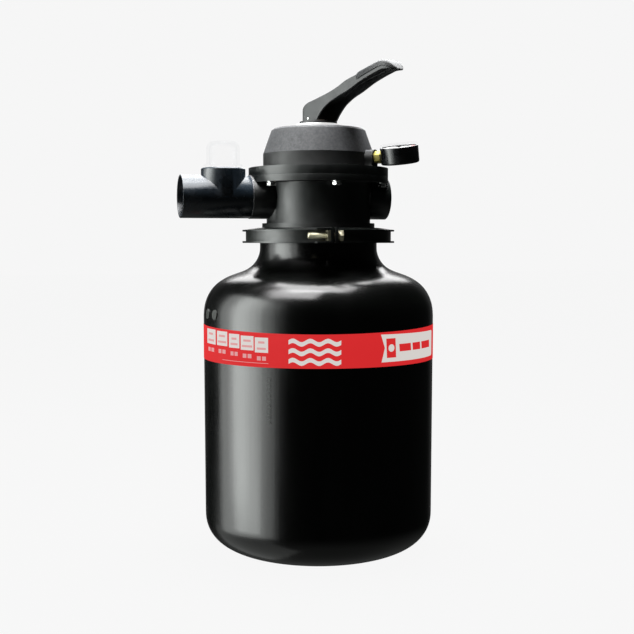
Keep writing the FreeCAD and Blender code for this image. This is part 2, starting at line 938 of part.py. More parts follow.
spring = new_body("rotor_spring")
SPRING_LOW = "rotor_seat_z + slip_thick + 0.1"
SPRING_HIGH = "lid_top_z - lid_wall - slip_thick - 0.1"
wire = spring.newObject("Sketcher::SketchObject", "wire_sketch")
wire.AttachmentSupport = [(origin_part(spring, "XZ_Plane"), "")]
wire.MapMode = "FlatFace"
wire_centre = Vector(value_of("spring_mean_r"), value_of(SPRING_LOW + " + spring_wire_r"), 0)
wire.addGeometry(Part.Circle(wire_centre, Vector(0, 0, 1), value_of("spring_wire_r")), False)
for kind, text in (("DistanceX", "spring_mean_r"), ("DistanceY", SPRING_LOW + " + spring_wire_r")):
    number = wire.addConstraint(Sketcher.Constraint(kind, -1, 1, 0, 3, value_of(text)))
    drive(wire, f"Constraints[{number}]", text)
number = wire.addConstraint(Sketcher.Constraint("Radius", 0, value_of("spring_wire_r")))
drive(wire, f"Constraints[{number}]", "spring_wire_r")
coil = spring.newObject("PartDesign::AdditiveHelix", "coil")
coil.Profile = wire
coil.ReferenceAxis = (wire, ["V_Axis"])
coil.Mode = 0
COIL_PITCH = f"({SPRING_HIGH} - ({SPRING_LOW}) - 2 * spring_wire_r) / spring_turns"
COIL_RISE = f"{SPRING_HIGH} - ({SPRING_LOW}) - 2 * spring_wire_r"
coil.Pitch = value_of(COIL_PITCH)
coil.Height = value_of(COIL_RISE)
drive(coil, "Pitch", COIL_PITCH)
drive(coil, "Height", COIL_RISE)
spring.Tip = coil

# ---------------------------------------------------------------- lid

lid = new_body("lid")
revolved(
    lid,
    "cone",
    [
        ("spigot_bore_r", "lid_low_z"),
        ("deck_r", "lid_low_z"),
        ("deck_r", "lid_flange_z"),
        ("lid_band_r", "lid_flange_z"),
        ("lid_band_r", "lid_band_z"),
        ("lid_knee_r", "lid_knee_z"),
        ("lid_cone_r", "lid_cone_z"),
        ("lid_top_r", "lid_top_z"),
        ("shaft_bore_r", "lid_top_z"),
        ("shaft_bore_r", "lid_hub_low_z"),
        ("lid_hub_r", "lid_hub_low_z"),
        ("lid_hub_r", "lid_top_z - lid_wall"),
        ("lid_cone_r - lid_wall - 1", "lid_top_z - lid_wall"),
        ("lid_knee_r - lid_wall", "lid_knee_z - 2"),
        ("spigot_bore_r", "lid_flange_z"),
    ],
)
STEM_OUT = "stem_drop * sin(gauge_rise) * cos(gauge_roll)"
STEM_SIDE = "stem_drop * sin(gauge_roll)"


def stem_height(out):
    """The height of the gauge stem's axis at a distance inward of the gauge's centre."""
    return f"gauge_z - ({out}) * sin(gauge_rise) - stem_drop * cos(gauge_rise) * cos(gauge_roll)"


def tilted_rod(body, name, radius, start, end, cut=False):
    """A rod on the gauge stem's axis, between two distances inward of the gauge's centre."""
    kind = "SubtractiveCylinder" if cut else "AdditiveCylinder"
    feature = body.newObject("PartDesign::" + kind, name)
    for prop, text in (("Radius", radius), ("Height", f"({start}) - ({end})")):
        setattr(feature, prop, value_of(text))
        drive(feature, prop, text)
    out = f"(gauge_out - ({start}) * cos(gauge_rise) + {STEM_OUT})"
    drive(
        feature,
        "Placement",
        f"placement(vector({out} * cos(gauge_angle) - {STEM_SIDE} * sin(gauge_angle); "
        f"{out} * sin(gauge_angle) + {STEM_SIDE} * cos(gauge_angle); "
        f"{stem_height(start)}); rotation(vector(0; 0; 1); gauge_angle)"
        " * rotation(vector(0; 1; 0); 90 - gauge_rise))",
    )
    body.Tip = feature
    return feature


tilted_rod(lid, "gauge_boss", "boss_r", "boss_start", "boss_end")
web = lid.newObject("PartDesign::AdditiveBox", "gauge_web")
WEB_SIZE = (
    ("Length", "gauge_out - boss_end * cos(gauge_rise) - lid_knee_r + 2"),
    ("Width", "2 * web_half"),
    ("Height", "gauge_z - stem_drop - boss_end * sin(gauge_rise) - lid_flange_z"),
)
for prop, text in WEB_SIZE:
    setattr(web, prop, value_of(text))
    drive(web, prop, text)
drive(
    web,
    "Placement",
    "placement(vector((lid_knee_r - 3) * cos(gauge_angle) + web_half * sin(gauge_angle); "
    "(lid_knee_r - 3) * sin(gauge_angle) - web_half * cos(gauge_angle); lid_flange_z - 0.5); "
    "rotation(vector(0; 0; 1); gauge_angle))",
)
lid.Tip = web
tilted_rod(lid, "stem_hole", "stem_hole_r", "boss_start - 3", "boss_end - 1", cut=True)
tilted_rod(lid, "stem_way", "stem_way_r", "boss_start + 12", "boss_end", cut=True)
doc.recompute()
revolved(
    lid,
    "seal_groove",
    [
        ("lid_groove_r - lid_seal_wire_r - 0.3", "lid_low_z - 1"),
        ("lid_groove_r - lid_seal_wire_r - 0.3", "lid_low_z + 2 * lid_seal_wire_r"),
        ("lid_groove_r + lid_seal_wire_r + 0.3", "lid_low_z + 2 * lid_seal_wire_r"),
        ("lid_groove_r + lid_seal_wire_r + 0.3", "lid_low_z - 1"),
    ],
    groove=True,
)
for angle in SCREW_ANGLES:
    rod(
        lid,
        f"insert_hole_{angle}",
        "insert_r + 0.02",
        "insert_top_z + 0.6 - lid_low_z + 1",
        on_pitch(angle, "lid_low_z - 1"),
        cut=True,
    )

screws = new_body("lid_screws")
SEAT_Z = "deck_low_z - screw_washer - 0.04"
for angle in SCREW_ANGLES:
    rod(screws, f"shank_{angle}", "screw_r", f"screw_top_z - ({SEAT_Z}) + 1", on_pitch(angle, f"{SEAT_Z} - 1"))
    hexagon(
        screws,
        f"head_{angle}",
        "screw_head_r",
        "screw_head",
        on_pitch(angle, f"{SEAT_Z} - screw_head"),
    )

lid_washers = new_body("lid_washers")
for angle in SCREW_ANGLES:
    rod(
        lid_washers,
        f"washer_{angle}",
        "screw_washer_r",
        "screw_washer",
        on_pitch(angle, "deck_low_z - screw_washer - 0.02"),
    )
doc.recompute()
for angle in SCREW_ANGLES:
    rod(
        lid_washers,
        f"bore_{angle}",
        "screw_r + 0.1",
        "40",
        on_pitch(angle, "deck_low_z - 20"),
        cut=True,
    )

inserts = new_body("lid_inserts")
for angle in SCREW_ANGLES:
    rod(
        inserts,
        f"insert_{angle}",
        "insert_r",
        "insert_top_z - insert_low_z",
        on_pitch(angle, "insert_low_z"),
    )
doc.recompute()
for angle in SCREW_ANGLES:
    rod(
        inserts,
        f"bore_{angle}",
        "screw_r + 0.02",
        "20",
        on_pitch(angle, "insert_low_z - 5"),
        cut=True,
    )

ring("position_plate", "plate_bore_r", "plate_r", "lid_top_z + 0.05", "plate_z")
ring("handle_washer", "shaft_r + 0.1", "thrust_r", "plate_z + 0.1", "thrust_z", "lever_angle")

# ---------------------------------------------------------------- handle

handle = new_body("handle", "lever_angle")
padded(
    handle,
    "side",
    [
        ("10", "handle_base_z"),
        ("10", "pin_z + 12"),
        ("6.5", "pin_z + 18"),
        ("-1.5", "pin_z + 20.3"),
        ("-14", "pin_z + 22.8"),
        ("-28", "pin_z + 25.5"),
        ("-40", "pin_z + 28.2"),
        ("-48", "pin_z + 33"),
        ("-62", "pin_z + 42"),
        ("-79", "pin_z + 47.8"),
        ("-80.5", "pin_z + 50"),
        ("-109", "pin_z + 59.8"),
        ("-120", "pin_z + 61.8"),
        ("-130", "pin_z + 61.4"),
        ("-138", "pin_z + 58"),
        ("-tip_reach", "pin_z + 50.5"),
        ("-134", "pin_z + 52"),
        ("-124", "pin_z + 52.2"),
        ("-112", "pin_z + 49.2"),
        ("-88", "pin_z + 41.2"),
        ("-64", "pin_z + 30.4"),
        ("-52", "pin_z + 26"),
        ("-43", "pin_z + 22"),
        ("-34", "pin_z + 16.8"),
        ("-27", "pin_z + 11"),
        ("-20", "pin_z + 4"),
        ("-16", "handle_base_z"),
    ],
    "YZ_Plane",
    "2 * handle_half",
)
doc.recompute()
for side, name in (("", "right_trim"), ("-", "left_trim")):
    padded(
        handle,
        name,
        [
            (side + "(handle_half + 5)", "-22"),
            (side + "handle_half", "-22"),
            (side + "(grip_half + 3.2)", "-36"),
            (side + "(grip_half + 1)", "-54"),
            (side + "grip_half", "-80"),
            (side + "grip_half", "-128"),
            (side + "(grip_half - 3)", "-137"),
            (side + "(grip_half - 9)", "-tip_reach + 0.6"),
            (side + "2", "-tip_reach - 5"),
            (side + "(handle_half + 5)", "-tip_reach - 5"),
        ],
        "XY_Plane",
        "4 * handle_base_z",
        pocket=True,
    )
padded(
    handle,
    "hub_hollow",
    [
        ("7.4", "handle_base_z - 1"),
        ("7.4", "pin_z + 11"),
        ("5", "pin_z + 15.4"),
        ("-1.5", "pin_z + 17.7"),
        ("-14", "pin_z + 20.2"),
        ("-26", "pin_z + 22.5"),
        ("-26", "handle_base_z - 1"),
    ],
    "YZ_Plane",
    "2 * (handle_half - handle_wall)",
    pocket=True,
)
padded(
    handle,
    "lever_hollow",
    [
        ("-25", "pin_z + 22.4"),
        ("-40", "pin_z + 25.4"),
        ("-49", "pin_z + 30.4"),
        ("-62", "pin_z + 38.8"),
        ("-80", "pin_z + 45"),
        ("-109", "pin_z + 56.6"),
        ("-120", "pin_z + 58.8"),
        ("-130", "pin_z + 58"),
        ("-136", "pin_z + 54"),
        ("-136", "pin_z + 40"),
        ("-60", "pin_z + 12"),
        ("-25", "handle_base_z - 1"),
    ],
    "YZ_Plane",
    "2 * (grip_half - handle_wall)",
    pocket=True,
)
doc.recompute()
rod(handle, "pin_hole", "pin_hole_r", "60", ("-30", "0", "pin_z"), "+X", cut=True)

pin = new_body("handle_pin", "lever_angle")
rod(pin, "pin", "pin_r", "2 * pin_half", ("-pin_half", "0", "pin_z"), "+X")

# ---------------------------------------------------------------- sight tee and glass

tee = new_body("sight_tee")
rod(tee, "run", "tee_r", "tee_end - tee_start", ("-tee_start", "0", "port_z"), "-X")
rod(
    tee,
    "spigot",
    "tee_spigot_r",
    "tee_start - tee_spigot_end + 1",
    ("-tee_spigot_end", "0", "port_z"),
    "-X",
)
rod(tee, "branch", "branch_r", "branch_z - port_z - rim_chamfer", ("-branch_x", "0", "port_z"))
primitive(
    tee,
    "branch_rim",
    "AdditiveCone",
    {"Radius1": "branch_r", "Radius2": "branch_r - rim_chamfer", "Height": "rim_chamfer"},
    ("-branch_x", "0", "branch_z - rim_chamfer"),
)
rod(
    tee,
    "run_way",
    "tee_way_r",
    "tee_end - tee_spigot_end + 4",
    ("-tee_spigot_end + 2", "0", "port_z"),
    "-X",
    cut=True,
)
rod(
    tee, "socket", "socket_r", "tee_socket + 2", ("-tee_end + tee_socket", "0", "port_z"), "-X", True
)
rod(
    tee, "branch_way", "branch_bore_r", "branch_z - port_z + 5", ("-branch_x", "0", "port_z"), cut=True
)
groove_out = rod(
    tee,
    "seal_groove",
    "sight_groove_r + sight_seal_wire_r + 0.2",
    "4",
    ("-branch_x", "0", "branch_z - 2 * sight_seal_wire_r"),
    cut=True,
)
doc.recompute()
rod(
    tee,
    "seal_wall",
    "sight_groove_r - sight_seal_wire_r - 0.1",
    "2 * sight_seal_wire_r + 1",
    ("-branch_x", "0", "branch_z - 2 * sight_seal_wire_r - 1"),
)
rod(
    tee,
    "thread_way",
    "branch_bore_r",
    "20",
    ("-branch_x", "0", "branch_z - 12"),
    cut=True,
)
sight_seal = seal(
    "sight_oring", "sight_groove_r", "sight_seal_wire_r - 0.02", "branch_z - sight_seal_wire_r"
)
sight_seal.Placement.Base.x = -value_of("branch_x")
drive(sight_seal, "Placement.Base.x", "-branch_x")

glass = new_body("sight_glass")
revolved(
    glass,
    "bowl",
    [
        ("glass_spigot_r - glass_wall", "glass_spigot_low_z"),
        ("glass_spigot_r", "glass_spigot_low_z"),
        ("glass_spigot_r", "glass_flange_low_z"),
        ("glass_flange_r", "glass_flange_low_z"),
        ("glass_flange_r", "glass_flange_z"),
        ("glass_r", "glass_flange_z"),
        ("glass_r", "glass_top_z"),
        ("0", "glass_top_z"),
        ("0", "glass_top_z - glass_wall"),
        ("glass_spigot_r - glass_wall", "glass_top_z - glass_wall"),
    ],
)
rounded(glass, "dome", [("glass_r", "glass_top_z")], "glass_dome")
rounded(
    glass,
    "dome_inside",
    [("glass_spigot_r - glass_wall", "glass_top_z - glass_wall")],
    "glass_dome - glass_wall",
)
glass.Placement = Placement(Vector(-value_of("branch_x"), 0, 0), Rotation())
drive(glass, "Placement.Base.x", "-branch_x")

# ---------------------------------------------------------------- gauge

case = new_body("gauge_case")
revolved(
    case,
    "cup",
    [
        ("0", "-gauge_back"),
        ("gauge_r", "-gauge_back"),
        ("gauge_r", "case_top"),
        ("gauge_rim_r", "case_top"),
        ("gauge_rim_r", "-gauge_back + gauge_wall"),
        ("0", "-gauge_back + gauge_wall"),
    ],
)
rounded(case, "back_round", [("gauge_r", "-gauge_back")], "2.5")
rounded(case, "rim_round", [("gauge_r", "case_top")], "0.6")
doc.recompute()
rod(
    case,
    "stem_hole",
    "stem_neck_r + 0.05",
    "20",
    ("-gauge_r + 12", "0", "-stem_drop"),
    "-X",
    cut=True,
)
on_gauge(case)

stem = new_body("gauge_stem")
for name, radius, length, start in (
    ("neck", "stem_neck_r", "15", "-gauge_r + 6"),
    ("hex", "stem_hex_r", "boss_end - gauge_r - 1", "-gauge_r - 0.6"),
    ("thread", "stem_r", "stem_start - boss_end + 1.5", "-boss_end + 1"),
):
    draw = hexagon if name == "hex" else rod
    draw(stem, name, radius, length, (start, "0", "-stem_drop"), "-X")
doc.recompute()
rod(stem, "way", "stem_way_r", "60", ("-gauge_r + 4", "0", "-stem_drop"), "-X", cut=True)
on_gauge(stem)

dial = new_body("gauge_dial")
revolved(
    dial,
    "face",
    [
        ("arbor_hole_r", "dial_z"),
        ("gauge_rim_r - 0.05", "dial_z"),
        ("gauge_rim_r - 0.05", "dial_z + dial_thick"),
        ("arbor_hole_r", "dial_z + dial_thick"),
    ],
)
on_gauge(dial)

needle = new_body("gauge_needle")
rod(needle, "arbor", "arbor_r", "needle_low_z + 3.5", ("0", "0", "-2.5"))
rod(needle, "boss", "2.2", "needle_thick + 0.5", ("0", "0", "needle_low_z - 0.5"))
doc.recompute()
padded_needle = block(
    needle, "pointer", ("19", "1.2", "needle_thick"), ("-4.5", "-0.6", "needle_low_z")
)
on_gauge(needle)

lens = new_body("gauge_lens")
revolved(
    lens,
    "pane",
    [
        ("0", "lens_under"),
        ("lens_bore_r", "lens_under"),
        ("lens_bore_r", "lens_lip"),
        ("gauge_rim_r - 0.05", "lens_lip"),
        ("gauge_rim_r - 0.05", "case_top + 0.02"),
        ("lens_r", "case_top + 0.02"),
        ("lens_r", "lens_top"),
        ("0", "lens_top"),
    ],
)
rounded(lens, "edge", [("lens_r", "lens_top")], "1.2")
on_gauge(lens)

tube = new_body("gauge_tube")
coil_tube = tube.newObject("PartDesign::AdditiveTorus", "bourdon")
coil_tube.Radius1 = value_of("bourdon_r")
coil_tube.Radius2 = value_of("bourdon_wire_r")
coil_tube.Angle3 = 250
drive(coil_tube, "Radius1", "bourdon_r")
drive(coil_tube, "Radius2", "bourdon_wire_r")
coil_tube.Placement = Placement(Vector(0, 0, -4.8), Rotation(Vector(0, 0, 1), 195))
tube.Tip = coil_tube
on_gauge(tube)

movement = new_body("gauge_movement")
block(movement, "plate", ("20", "14", "1.4"), ("-10", "-7", "2.2"))
block(movement, "foot", ("12.9", "8", "3"), ("-gauge_r + 6.05", "-4", "-0.2"))
doc.recompute()
rod(movement, "bearing", "arbor_hole_r", "12", ("0", "0", "-3"), cut=True)
on_gauge(movement)

seal_ring = new_body("gauge_seal")
rod(seal_ring, "washer", "stem_neck_r + 2.2", "0.5", ("-gauge_r", "0", "-stem_drop"), "-X")
doc.recompute()
rod(
    seal_ring,
    "bore",
    "stem_neck_r + 0.05",
    "10",
    ("-gauge_r + 5", "0", "-stem_drop"),
    "-X",
    cut=True,
)
on_gauge(seal_ring)

# ---------------------------------------------------------------- check and write

doc.recompute()
for thing in doc.Objects:
    for state in thing.State:
        assert state not in ("Invalid", "Error"), (thing.Label, thing.Name, state)
os.makedirs("parts", exist_ok=True)
for piece in subparts:
    shape = piece.Shape
    assert not shape.isNull(), piece.Label
    assert shape.isValid(), piece.Label
    assert shape.Volume > 1, piece.Label
    shape.exportStep(f"parts/{piece.Label}.step")
    box = shape.BoundBox
    print(
        f"{piece.Label:20s} {shape.Volume / 1000:10.2f} cm3 {len(shape.Solids)} solids"
        f" x {box.XMin:.1f} {box.XMax:.1f} y {box.YMin:.1f} {box.YMax:.1f}"
        f" z {box.ZMin:.1f} {box.ZMax:.1f}"
    )
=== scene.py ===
import json
import math

import bmesh
import bpy
from mathutils import Matrix, Vector

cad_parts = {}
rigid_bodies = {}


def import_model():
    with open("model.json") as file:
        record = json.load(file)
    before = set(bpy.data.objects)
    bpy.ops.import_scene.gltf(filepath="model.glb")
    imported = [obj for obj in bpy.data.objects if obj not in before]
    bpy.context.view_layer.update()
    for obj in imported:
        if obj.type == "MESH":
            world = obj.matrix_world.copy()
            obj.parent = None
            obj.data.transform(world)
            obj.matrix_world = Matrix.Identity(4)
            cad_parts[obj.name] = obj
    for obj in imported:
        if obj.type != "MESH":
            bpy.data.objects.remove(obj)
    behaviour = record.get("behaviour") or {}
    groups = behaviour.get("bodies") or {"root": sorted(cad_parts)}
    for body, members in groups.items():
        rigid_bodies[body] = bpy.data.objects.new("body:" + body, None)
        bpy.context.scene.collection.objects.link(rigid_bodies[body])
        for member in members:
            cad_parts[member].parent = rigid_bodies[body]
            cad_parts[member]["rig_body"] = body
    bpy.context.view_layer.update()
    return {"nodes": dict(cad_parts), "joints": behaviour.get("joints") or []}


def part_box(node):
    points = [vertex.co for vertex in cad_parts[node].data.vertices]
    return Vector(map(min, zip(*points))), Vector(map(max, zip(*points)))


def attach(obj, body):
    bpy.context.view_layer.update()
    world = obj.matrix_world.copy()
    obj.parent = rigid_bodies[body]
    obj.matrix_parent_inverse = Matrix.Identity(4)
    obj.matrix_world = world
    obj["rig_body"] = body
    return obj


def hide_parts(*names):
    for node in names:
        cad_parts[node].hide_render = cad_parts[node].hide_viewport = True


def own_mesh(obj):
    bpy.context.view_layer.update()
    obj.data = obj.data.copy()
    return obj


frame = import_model()

MM = 0.001

# -------------------- mesh helpers


def placed(name, data):
    """A new object in the scene."""
    thing = bpy.data.objects.new(name, data)
    bpy.context.scene.collection.objects.link(thing)
    return thing


def add_object(name, mesh, material, body, replaces=()):
    """A visible piece that rides on a body and stands for the CAD nodes it names."""
    piece = placed(name, mesh)
    mesh.materials.clear()
    mesh.materials.append(material)
    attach(piece, body)
    if replaces:
        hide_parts(*replaces)
    return piece


def shade(mesh, angle=32):
    mesh.shade_smooth()
    mesh.set_sharp_from_angle(angle=math.radians(angle))


def mesh_from(name, verts, faces, matrix=None, angle=32):
    """A mesh from millimetre points, with its faces made to point outward."""
    mesh = bpy.data.meshes.new(name)
    mesh.from_pydata([tuple(c * MM for c in v) for v in verts], [], faces)
    bm = bmesh.new()
    bm.from_mesh(mesh)
    bmesh.ops.remove_doubles(bm, verts=bm.verts, dist=1e-6)
    bmesh.ops.recalc_face_normals(bm, faces=bm.faces)
    bm.to_mesh(mesh)
    bm.free()
    if matrix is not None:
        mesh.transform(matrix)
    shade(mesh, angle)
    return mesh


def rounded(corners, steps=6):
    """A closed outline from (r, z) or (r, z, round) corners, with true arcs at the rounds."""
    points = []
    count = len(corners)
    for i, corner in enumerate(corners):
        here = Vector(corner[:2])
        radius = corner[2] if len(corner) > 2 else 0
        before = Vector(corners[i - 1][:2]) - here
        after = Vector(corners[(i + 1) % count][:2]) - here
        if radius <= 0 or before.length < 1e-6 or after.length < 1e-6:
            points.append(here)
            continue
        before.normalize()
        after.normalize()
        half = math.acos(max(-1, min(1, before.dot(after)))) / 2
        if half < 0.02 or half > math.pi / 2 - 0.02:
            points.append(here)
            continue
        reach = radius / math.tan(half)
        centre = here + (before + after).normalized() * (radius / math.sin(half))
        start = here + before * reach - centre
        end = here + after * reach - centre
        sweep = start.angle_signed(end)
        for k in range(steps + 1):
            turn = Matrix.Rotation(-sweep * k / steps, 2)
            points.append(centre + turn @ start)
    return points


def lathe_mesh(name, corners, segments=128, steps=6, matrix=None, angle=32):
    """Turn a closed outline of (radius, height) corners about the vertical axis."""
    outline = rounded(corners, steps)
    verts = []
    faces = []
    size = len(outline)
    for i in range(segments):
        a = 2 * math.pi * i / segments
        for p in outline:
            verts.append((p.x * math.sin(a), -p.x * math.cos(a), p.y))
    for i in range(segments):
        j = (i + 1) % segments
        for k in range(size):
            m = (k + 1) % size
            quad = (i * size + k, i * size + m, j * size + m, j * size + k)
            if outline[k].x < 1e-6 and outline[m].x < 1e-6:
                continue
            faces.append(quad)
    return rebuild(name, verts, faces, matrix, angle)


def rebuild(name, verts, faces, matrix, angle):
    """A mesh whose doubled points on the axis are joined and whose flat faces are dropped."""
    mesh = bpy.data.meshes.new(name)
    bm = bmesh.new()
    made = [bm.verts.new([c * MM for c in v]) for v in verts]
    for face in faces:
        corners = []
        for index in face:
            vert = made[index]
            if not any((vert.co - other.co).length < 1e-7 for other in corners):
                corners.append(vert)
        if len(corners) >= 3:
            try:
                bm.faces.new(corners)
            except ValueError:
                pass
    bmesh.ops.remove_doubles(bm, verts=bm.verts, dist=1e-7)
    loose = [v for v in bm.verts if not v.link_faces]
    bmesh.ops.delete(bm, geom=loose, context="VERTS")
    bmesh.ops.recalc_face_normals(bm, faces=bm.faces)
    bm.to_mesh(mesh)
    bm.free()
    if matrix is not None:
        mesh.transform(matrix)
    shade(mesh, angle)
    return mesh


def turned(name, corners, material, body, replaces=(), slot=None, **shape):
    """A visible piece turned from an outline."""
    return add_object(name, lathe_mesh(name, corners, **shape), material, body, replaces)


def cad_copy(node):
    """A clean copy of a CAD node's mesh, with its flat faces joined."""
    mesh = frame["nodes"][node].data.copy()
    mesh.name = node + "_look"
    if mesh.has_custom_normals:
        mesh.attributes.remove(mesh.attributes["custom_normal"])
    bm = bmesh.new()
    bm.from_mesh(mesh)
    bmesh.ops.remove_doubles(bm, verts=bm.verts, dist=2e-6)
    bmesh.ops.dissolve_limit(
        bm, angle_limit=math.radians(0.4), verts=bm.verts, edges=bm.edges, delimit={"NORMAL"}
    )
    bm.to_mesh(mesh)
    bm.free()
    return mesh


def apply_modifiers(piece):
    """Bake the modifiers of a piece into its mesh."""
    graph = bpy.context.evaluated_depsgraph_get()
    mesh = bpy.data.meshes.new_from_object(piece.evaluated_get(graph))
    piece.modifiers.clear()
    piece.data = mesh


def dressed(node, material, width=0.35, segments=2, angle=30):
    """A CAD node drawn again with its edges broken by a small bevel."""
    body = frame["nodes"][node]["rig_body"]
    piece = add_object(node + "_look", cad_copy(node), material, body, [node])
    bevel = piece.modifiers.new("edges", "BEVEL")
    bevel.width = width * MM
    bevel.segments = segments
    bevel.limit_method = "ANGLE"
    bevel.angle_limit = math.radians(angle)
    bpy.context.view_layer.update()
    apply_modifiers(piece)
    shade(piece.data, 40)
    return piece


# -------------------- materials


def material(name, colour, roughness, metallic=0.0, coat=0.0, specular=0.5):
    """A Principled material, ready for textures to be linked into it."""
    made = bpy.data.materials.new(name)
    made.use_nodes = True
    shader = principled(made)
    shader.inputs["Base Color"].default_value = (*colour, 1)
    shader.inputs["Roughness"].default_value = roughness
    shader.inputs["Metallic"].default_value = metallic
    shader.inputs["Coat Weight"].default_value = coat
    shader.inputs["Coat Roughness"].default_value = 0.08
    shader.inputs["Specular IOR Level"].default_value = specular
    return made


def node(made, kind, **values):
    """Add a shader node; keyword values set its inputs by name."""
    new = made.node_tree.nodes.new(kind)
    for key, value in values.items():
        new.inputs[key.replace("_", " ")].default_value = value
    return new


def principled(made):
    return made.node_tree.nodes["Principled BSDF"]


def link(made, source, out, target, into):
    made.node_tree.links.new(source.outputs[out], target.inputs[into])


def coordinates(made, scale=(1, 1, 1)):
    """Object coordinates in metres, stretched by a scale."""
    place = node(made, "ShaderNodeTexCoord")
    mapping = node(made, "ShaderNodeMapping")
    mapping.inputs["Scale"].default_value = scale
    link(made, place, "Object", mapping, "Vector")
    return mapping


def noise(made, scale, detail=4.0, stretch=(1, 1, 1), roughness=0.55):
    texture = node(made, "ShaderNodeTexNoise", Scale=scale, Detail=detail, Roughness=roughness)
    link(made, coordinates(made, stretch), "Vector", texture, "Vector")
    return texture


def rgba(value):
    """A grey or a colour as the four numbers a colour ramp takes."""
    return (value, value, value, 1) if isinstance(value, float) else (*value, 1)


def set_stops(shades, first, last, *between):
    """Give a colour ramp its (position, grey or colour) stops.

    The two it has are set before any is added, because adding one moves the others along.
    """
    stops = shades.color_ramp.elements
    for stop, (position, value) in zip(stops, (first, last)):
        stop.position = position
        stop.color = rgba(value)
    for position, value in between:
        stops.new(position).color = rgba(value)


def ramp(made, source, out, low, high, start=0.3, end=0.7):
    """A ramp between two greys or two colours, driven by a texture."""
    new = node(made, "ShaderNodeValToRGB")
    link(made, source, out, new, "Fac")
    set_stops(new, (start, low), (end, high))
    return new


def vary_colour(made, low, high, scale, detail=4.0, stretch=(1, 1, 1), start=0.3, end=0.7):
    texture = noise(made, scale, detail, stretch)
    colours = ramp(made, texture, "Fac", low, high, start, end)
    link(made, colours, "Color", principled(made), "Base Color")


def vary_roughness(made, low, high, scale, detail=4.0, stretch=(1, 1, 1)):
    texture = noise(made, scale, detail, stretch)
    greys = ramp(made, texture, "Fac", low, high)
    link(made, greys, "Color", principled(made), "Roughness")


def bumps(made, *layers):
    """Stack bump layers, each (texture, output, strength, distance in mm)."""
    last = None
    for texture, out, strength, distance in layers:
        bump = node(made, "ShaderNodeBump", Strength=strength, Distance=distance * MM)
        link(made, texture, out, bump, "Height")
        if last is not None:
            link(made, last, "Normal", bump, "Normal")
        last = bump
    link(made, last, "Normal", principled(made), "Normal")


def moulded(name, colour, roughness, grain=900, depth=0.03, coat=0.0, specular=0.5):
    """Moulded plastic: a fine even grain over a faint slow waviness."""
    made = material(name, colour, roughness, coat=coat, specular=specular)
    vary_roughness(made, max(0.05, roughness - 0.06), roughness + 0.07, 60)
    low = tuple(c * 0.86 for c in colour)
    high = tuple(min(1, c * 1.14) for c in colour)
    vary_colour(made, low, high, 35)
    bumps(
        made,
        (noise(made, grain, 3), "Fac", 0.35, depth),
        (noise(made, 28, 2), "Fac", 0.25, 0.12),
    )
    return made


def metal(name, colour, roughness, grain=(1, 1, 14), scale=260, metallic=1.0):
    """Machined or plated metal with fine drawn lines and handling marks."""
    made = material(name, colour, roughness, metallic=metallic)
    low = tuple(c * 0.8 for c in colour)
    vary_colour(made, low, colour, 90, 5)
    vary_roughness(made, max(0.05, roughness - 0.08), roughness + 0.12, scale, 4, grain)
    bumps(made, (noise(made, scale, 4, grain), "Fac", 0.3, 0.02))
    return made


def tank_material():
    """Blow-moulded polyethylene: deep gloss, drawn-down flow lines and a slight orange peel."""
    made = material("tank_black_gloss", (0.0012, 0.0014, 0.0012), 0.2)
    vary_colour(made, (0.0009, 0.0011, 0.0009), (0.0018, 0.0021, 0.0019), 9)
    vary_roughness(made, 0.15, 0.27, 14, 5, (1, 1, 0.25))
    peel = noise(made, 210, 3, (1, 1, 0.55))
    lines = noise(made, 105, 5, (1, 1, 0.02), 0.62)
    sag = noise(made, 7, 2)
    bumps(
        made,
        (sag, "Fac", 0.35, 1.6),
        (lines, "Fac", 0.42, 0.34),
        (peel, "Fac", 0.2, 0.11),
    )
    return made


def textured_plastic():
    """Spark-eroded texture of the valve lid."""
    made = material("lid_texture", (0.04, 0.041, 0.043), 0.6, specular=0.35)
    vary_colour(made, (0.028, 0.029, 0.031), (0.052, 0.053, 0.056), 330, 6, (1, 1, 1), 0.35, 0.65)
    vary_roughness(made, 0.5, 0.7, 120)
    cells = node(made, "ShaderNodeTexVoronoi", Scale=900.0)
    link(made, coordinates(made), "Vector", cells, "Vector")
    bumps(
        made,
        (cells, "Distance", 0.5, 0.09),
        (noise(made, 500, 4), "Fac", 0.45, 0.08),
        (noise(made, 24, 2), "Fac", 0.3, 0.2),
    )
    return made


def grip_painted_highlight():
    """Grey rubber-like pad with a painted highlight: its colour grows lighter towards its tip
    along the mesh attribute named along, standing for the light the tip catches.
    """
    made = moulded("grip_grey", (0.085, 0.088, 0.09), 0.5, 300, 0.008, specular=0.15)
    place = node(made, "ShaderNodeAttribute")
    place.attribute_name = "along"
    shades = node(made, "ShaderNodeValToRGB")
    # the painted highlight's greys, from the grip's foot to its tip
    dark, middle, pale = (0.036, 0.038, 0.04), (0.1, 0.102, 0.104), (0.16, 0.162, 0.164)
    set_stops(shades, (0.3, dark), (0.9, pale), (0.55, middle))
    link(made, place, "Fac", shades, "Fac")
    link(made, shades, "Color", principled(made), "Base Color")
    return made


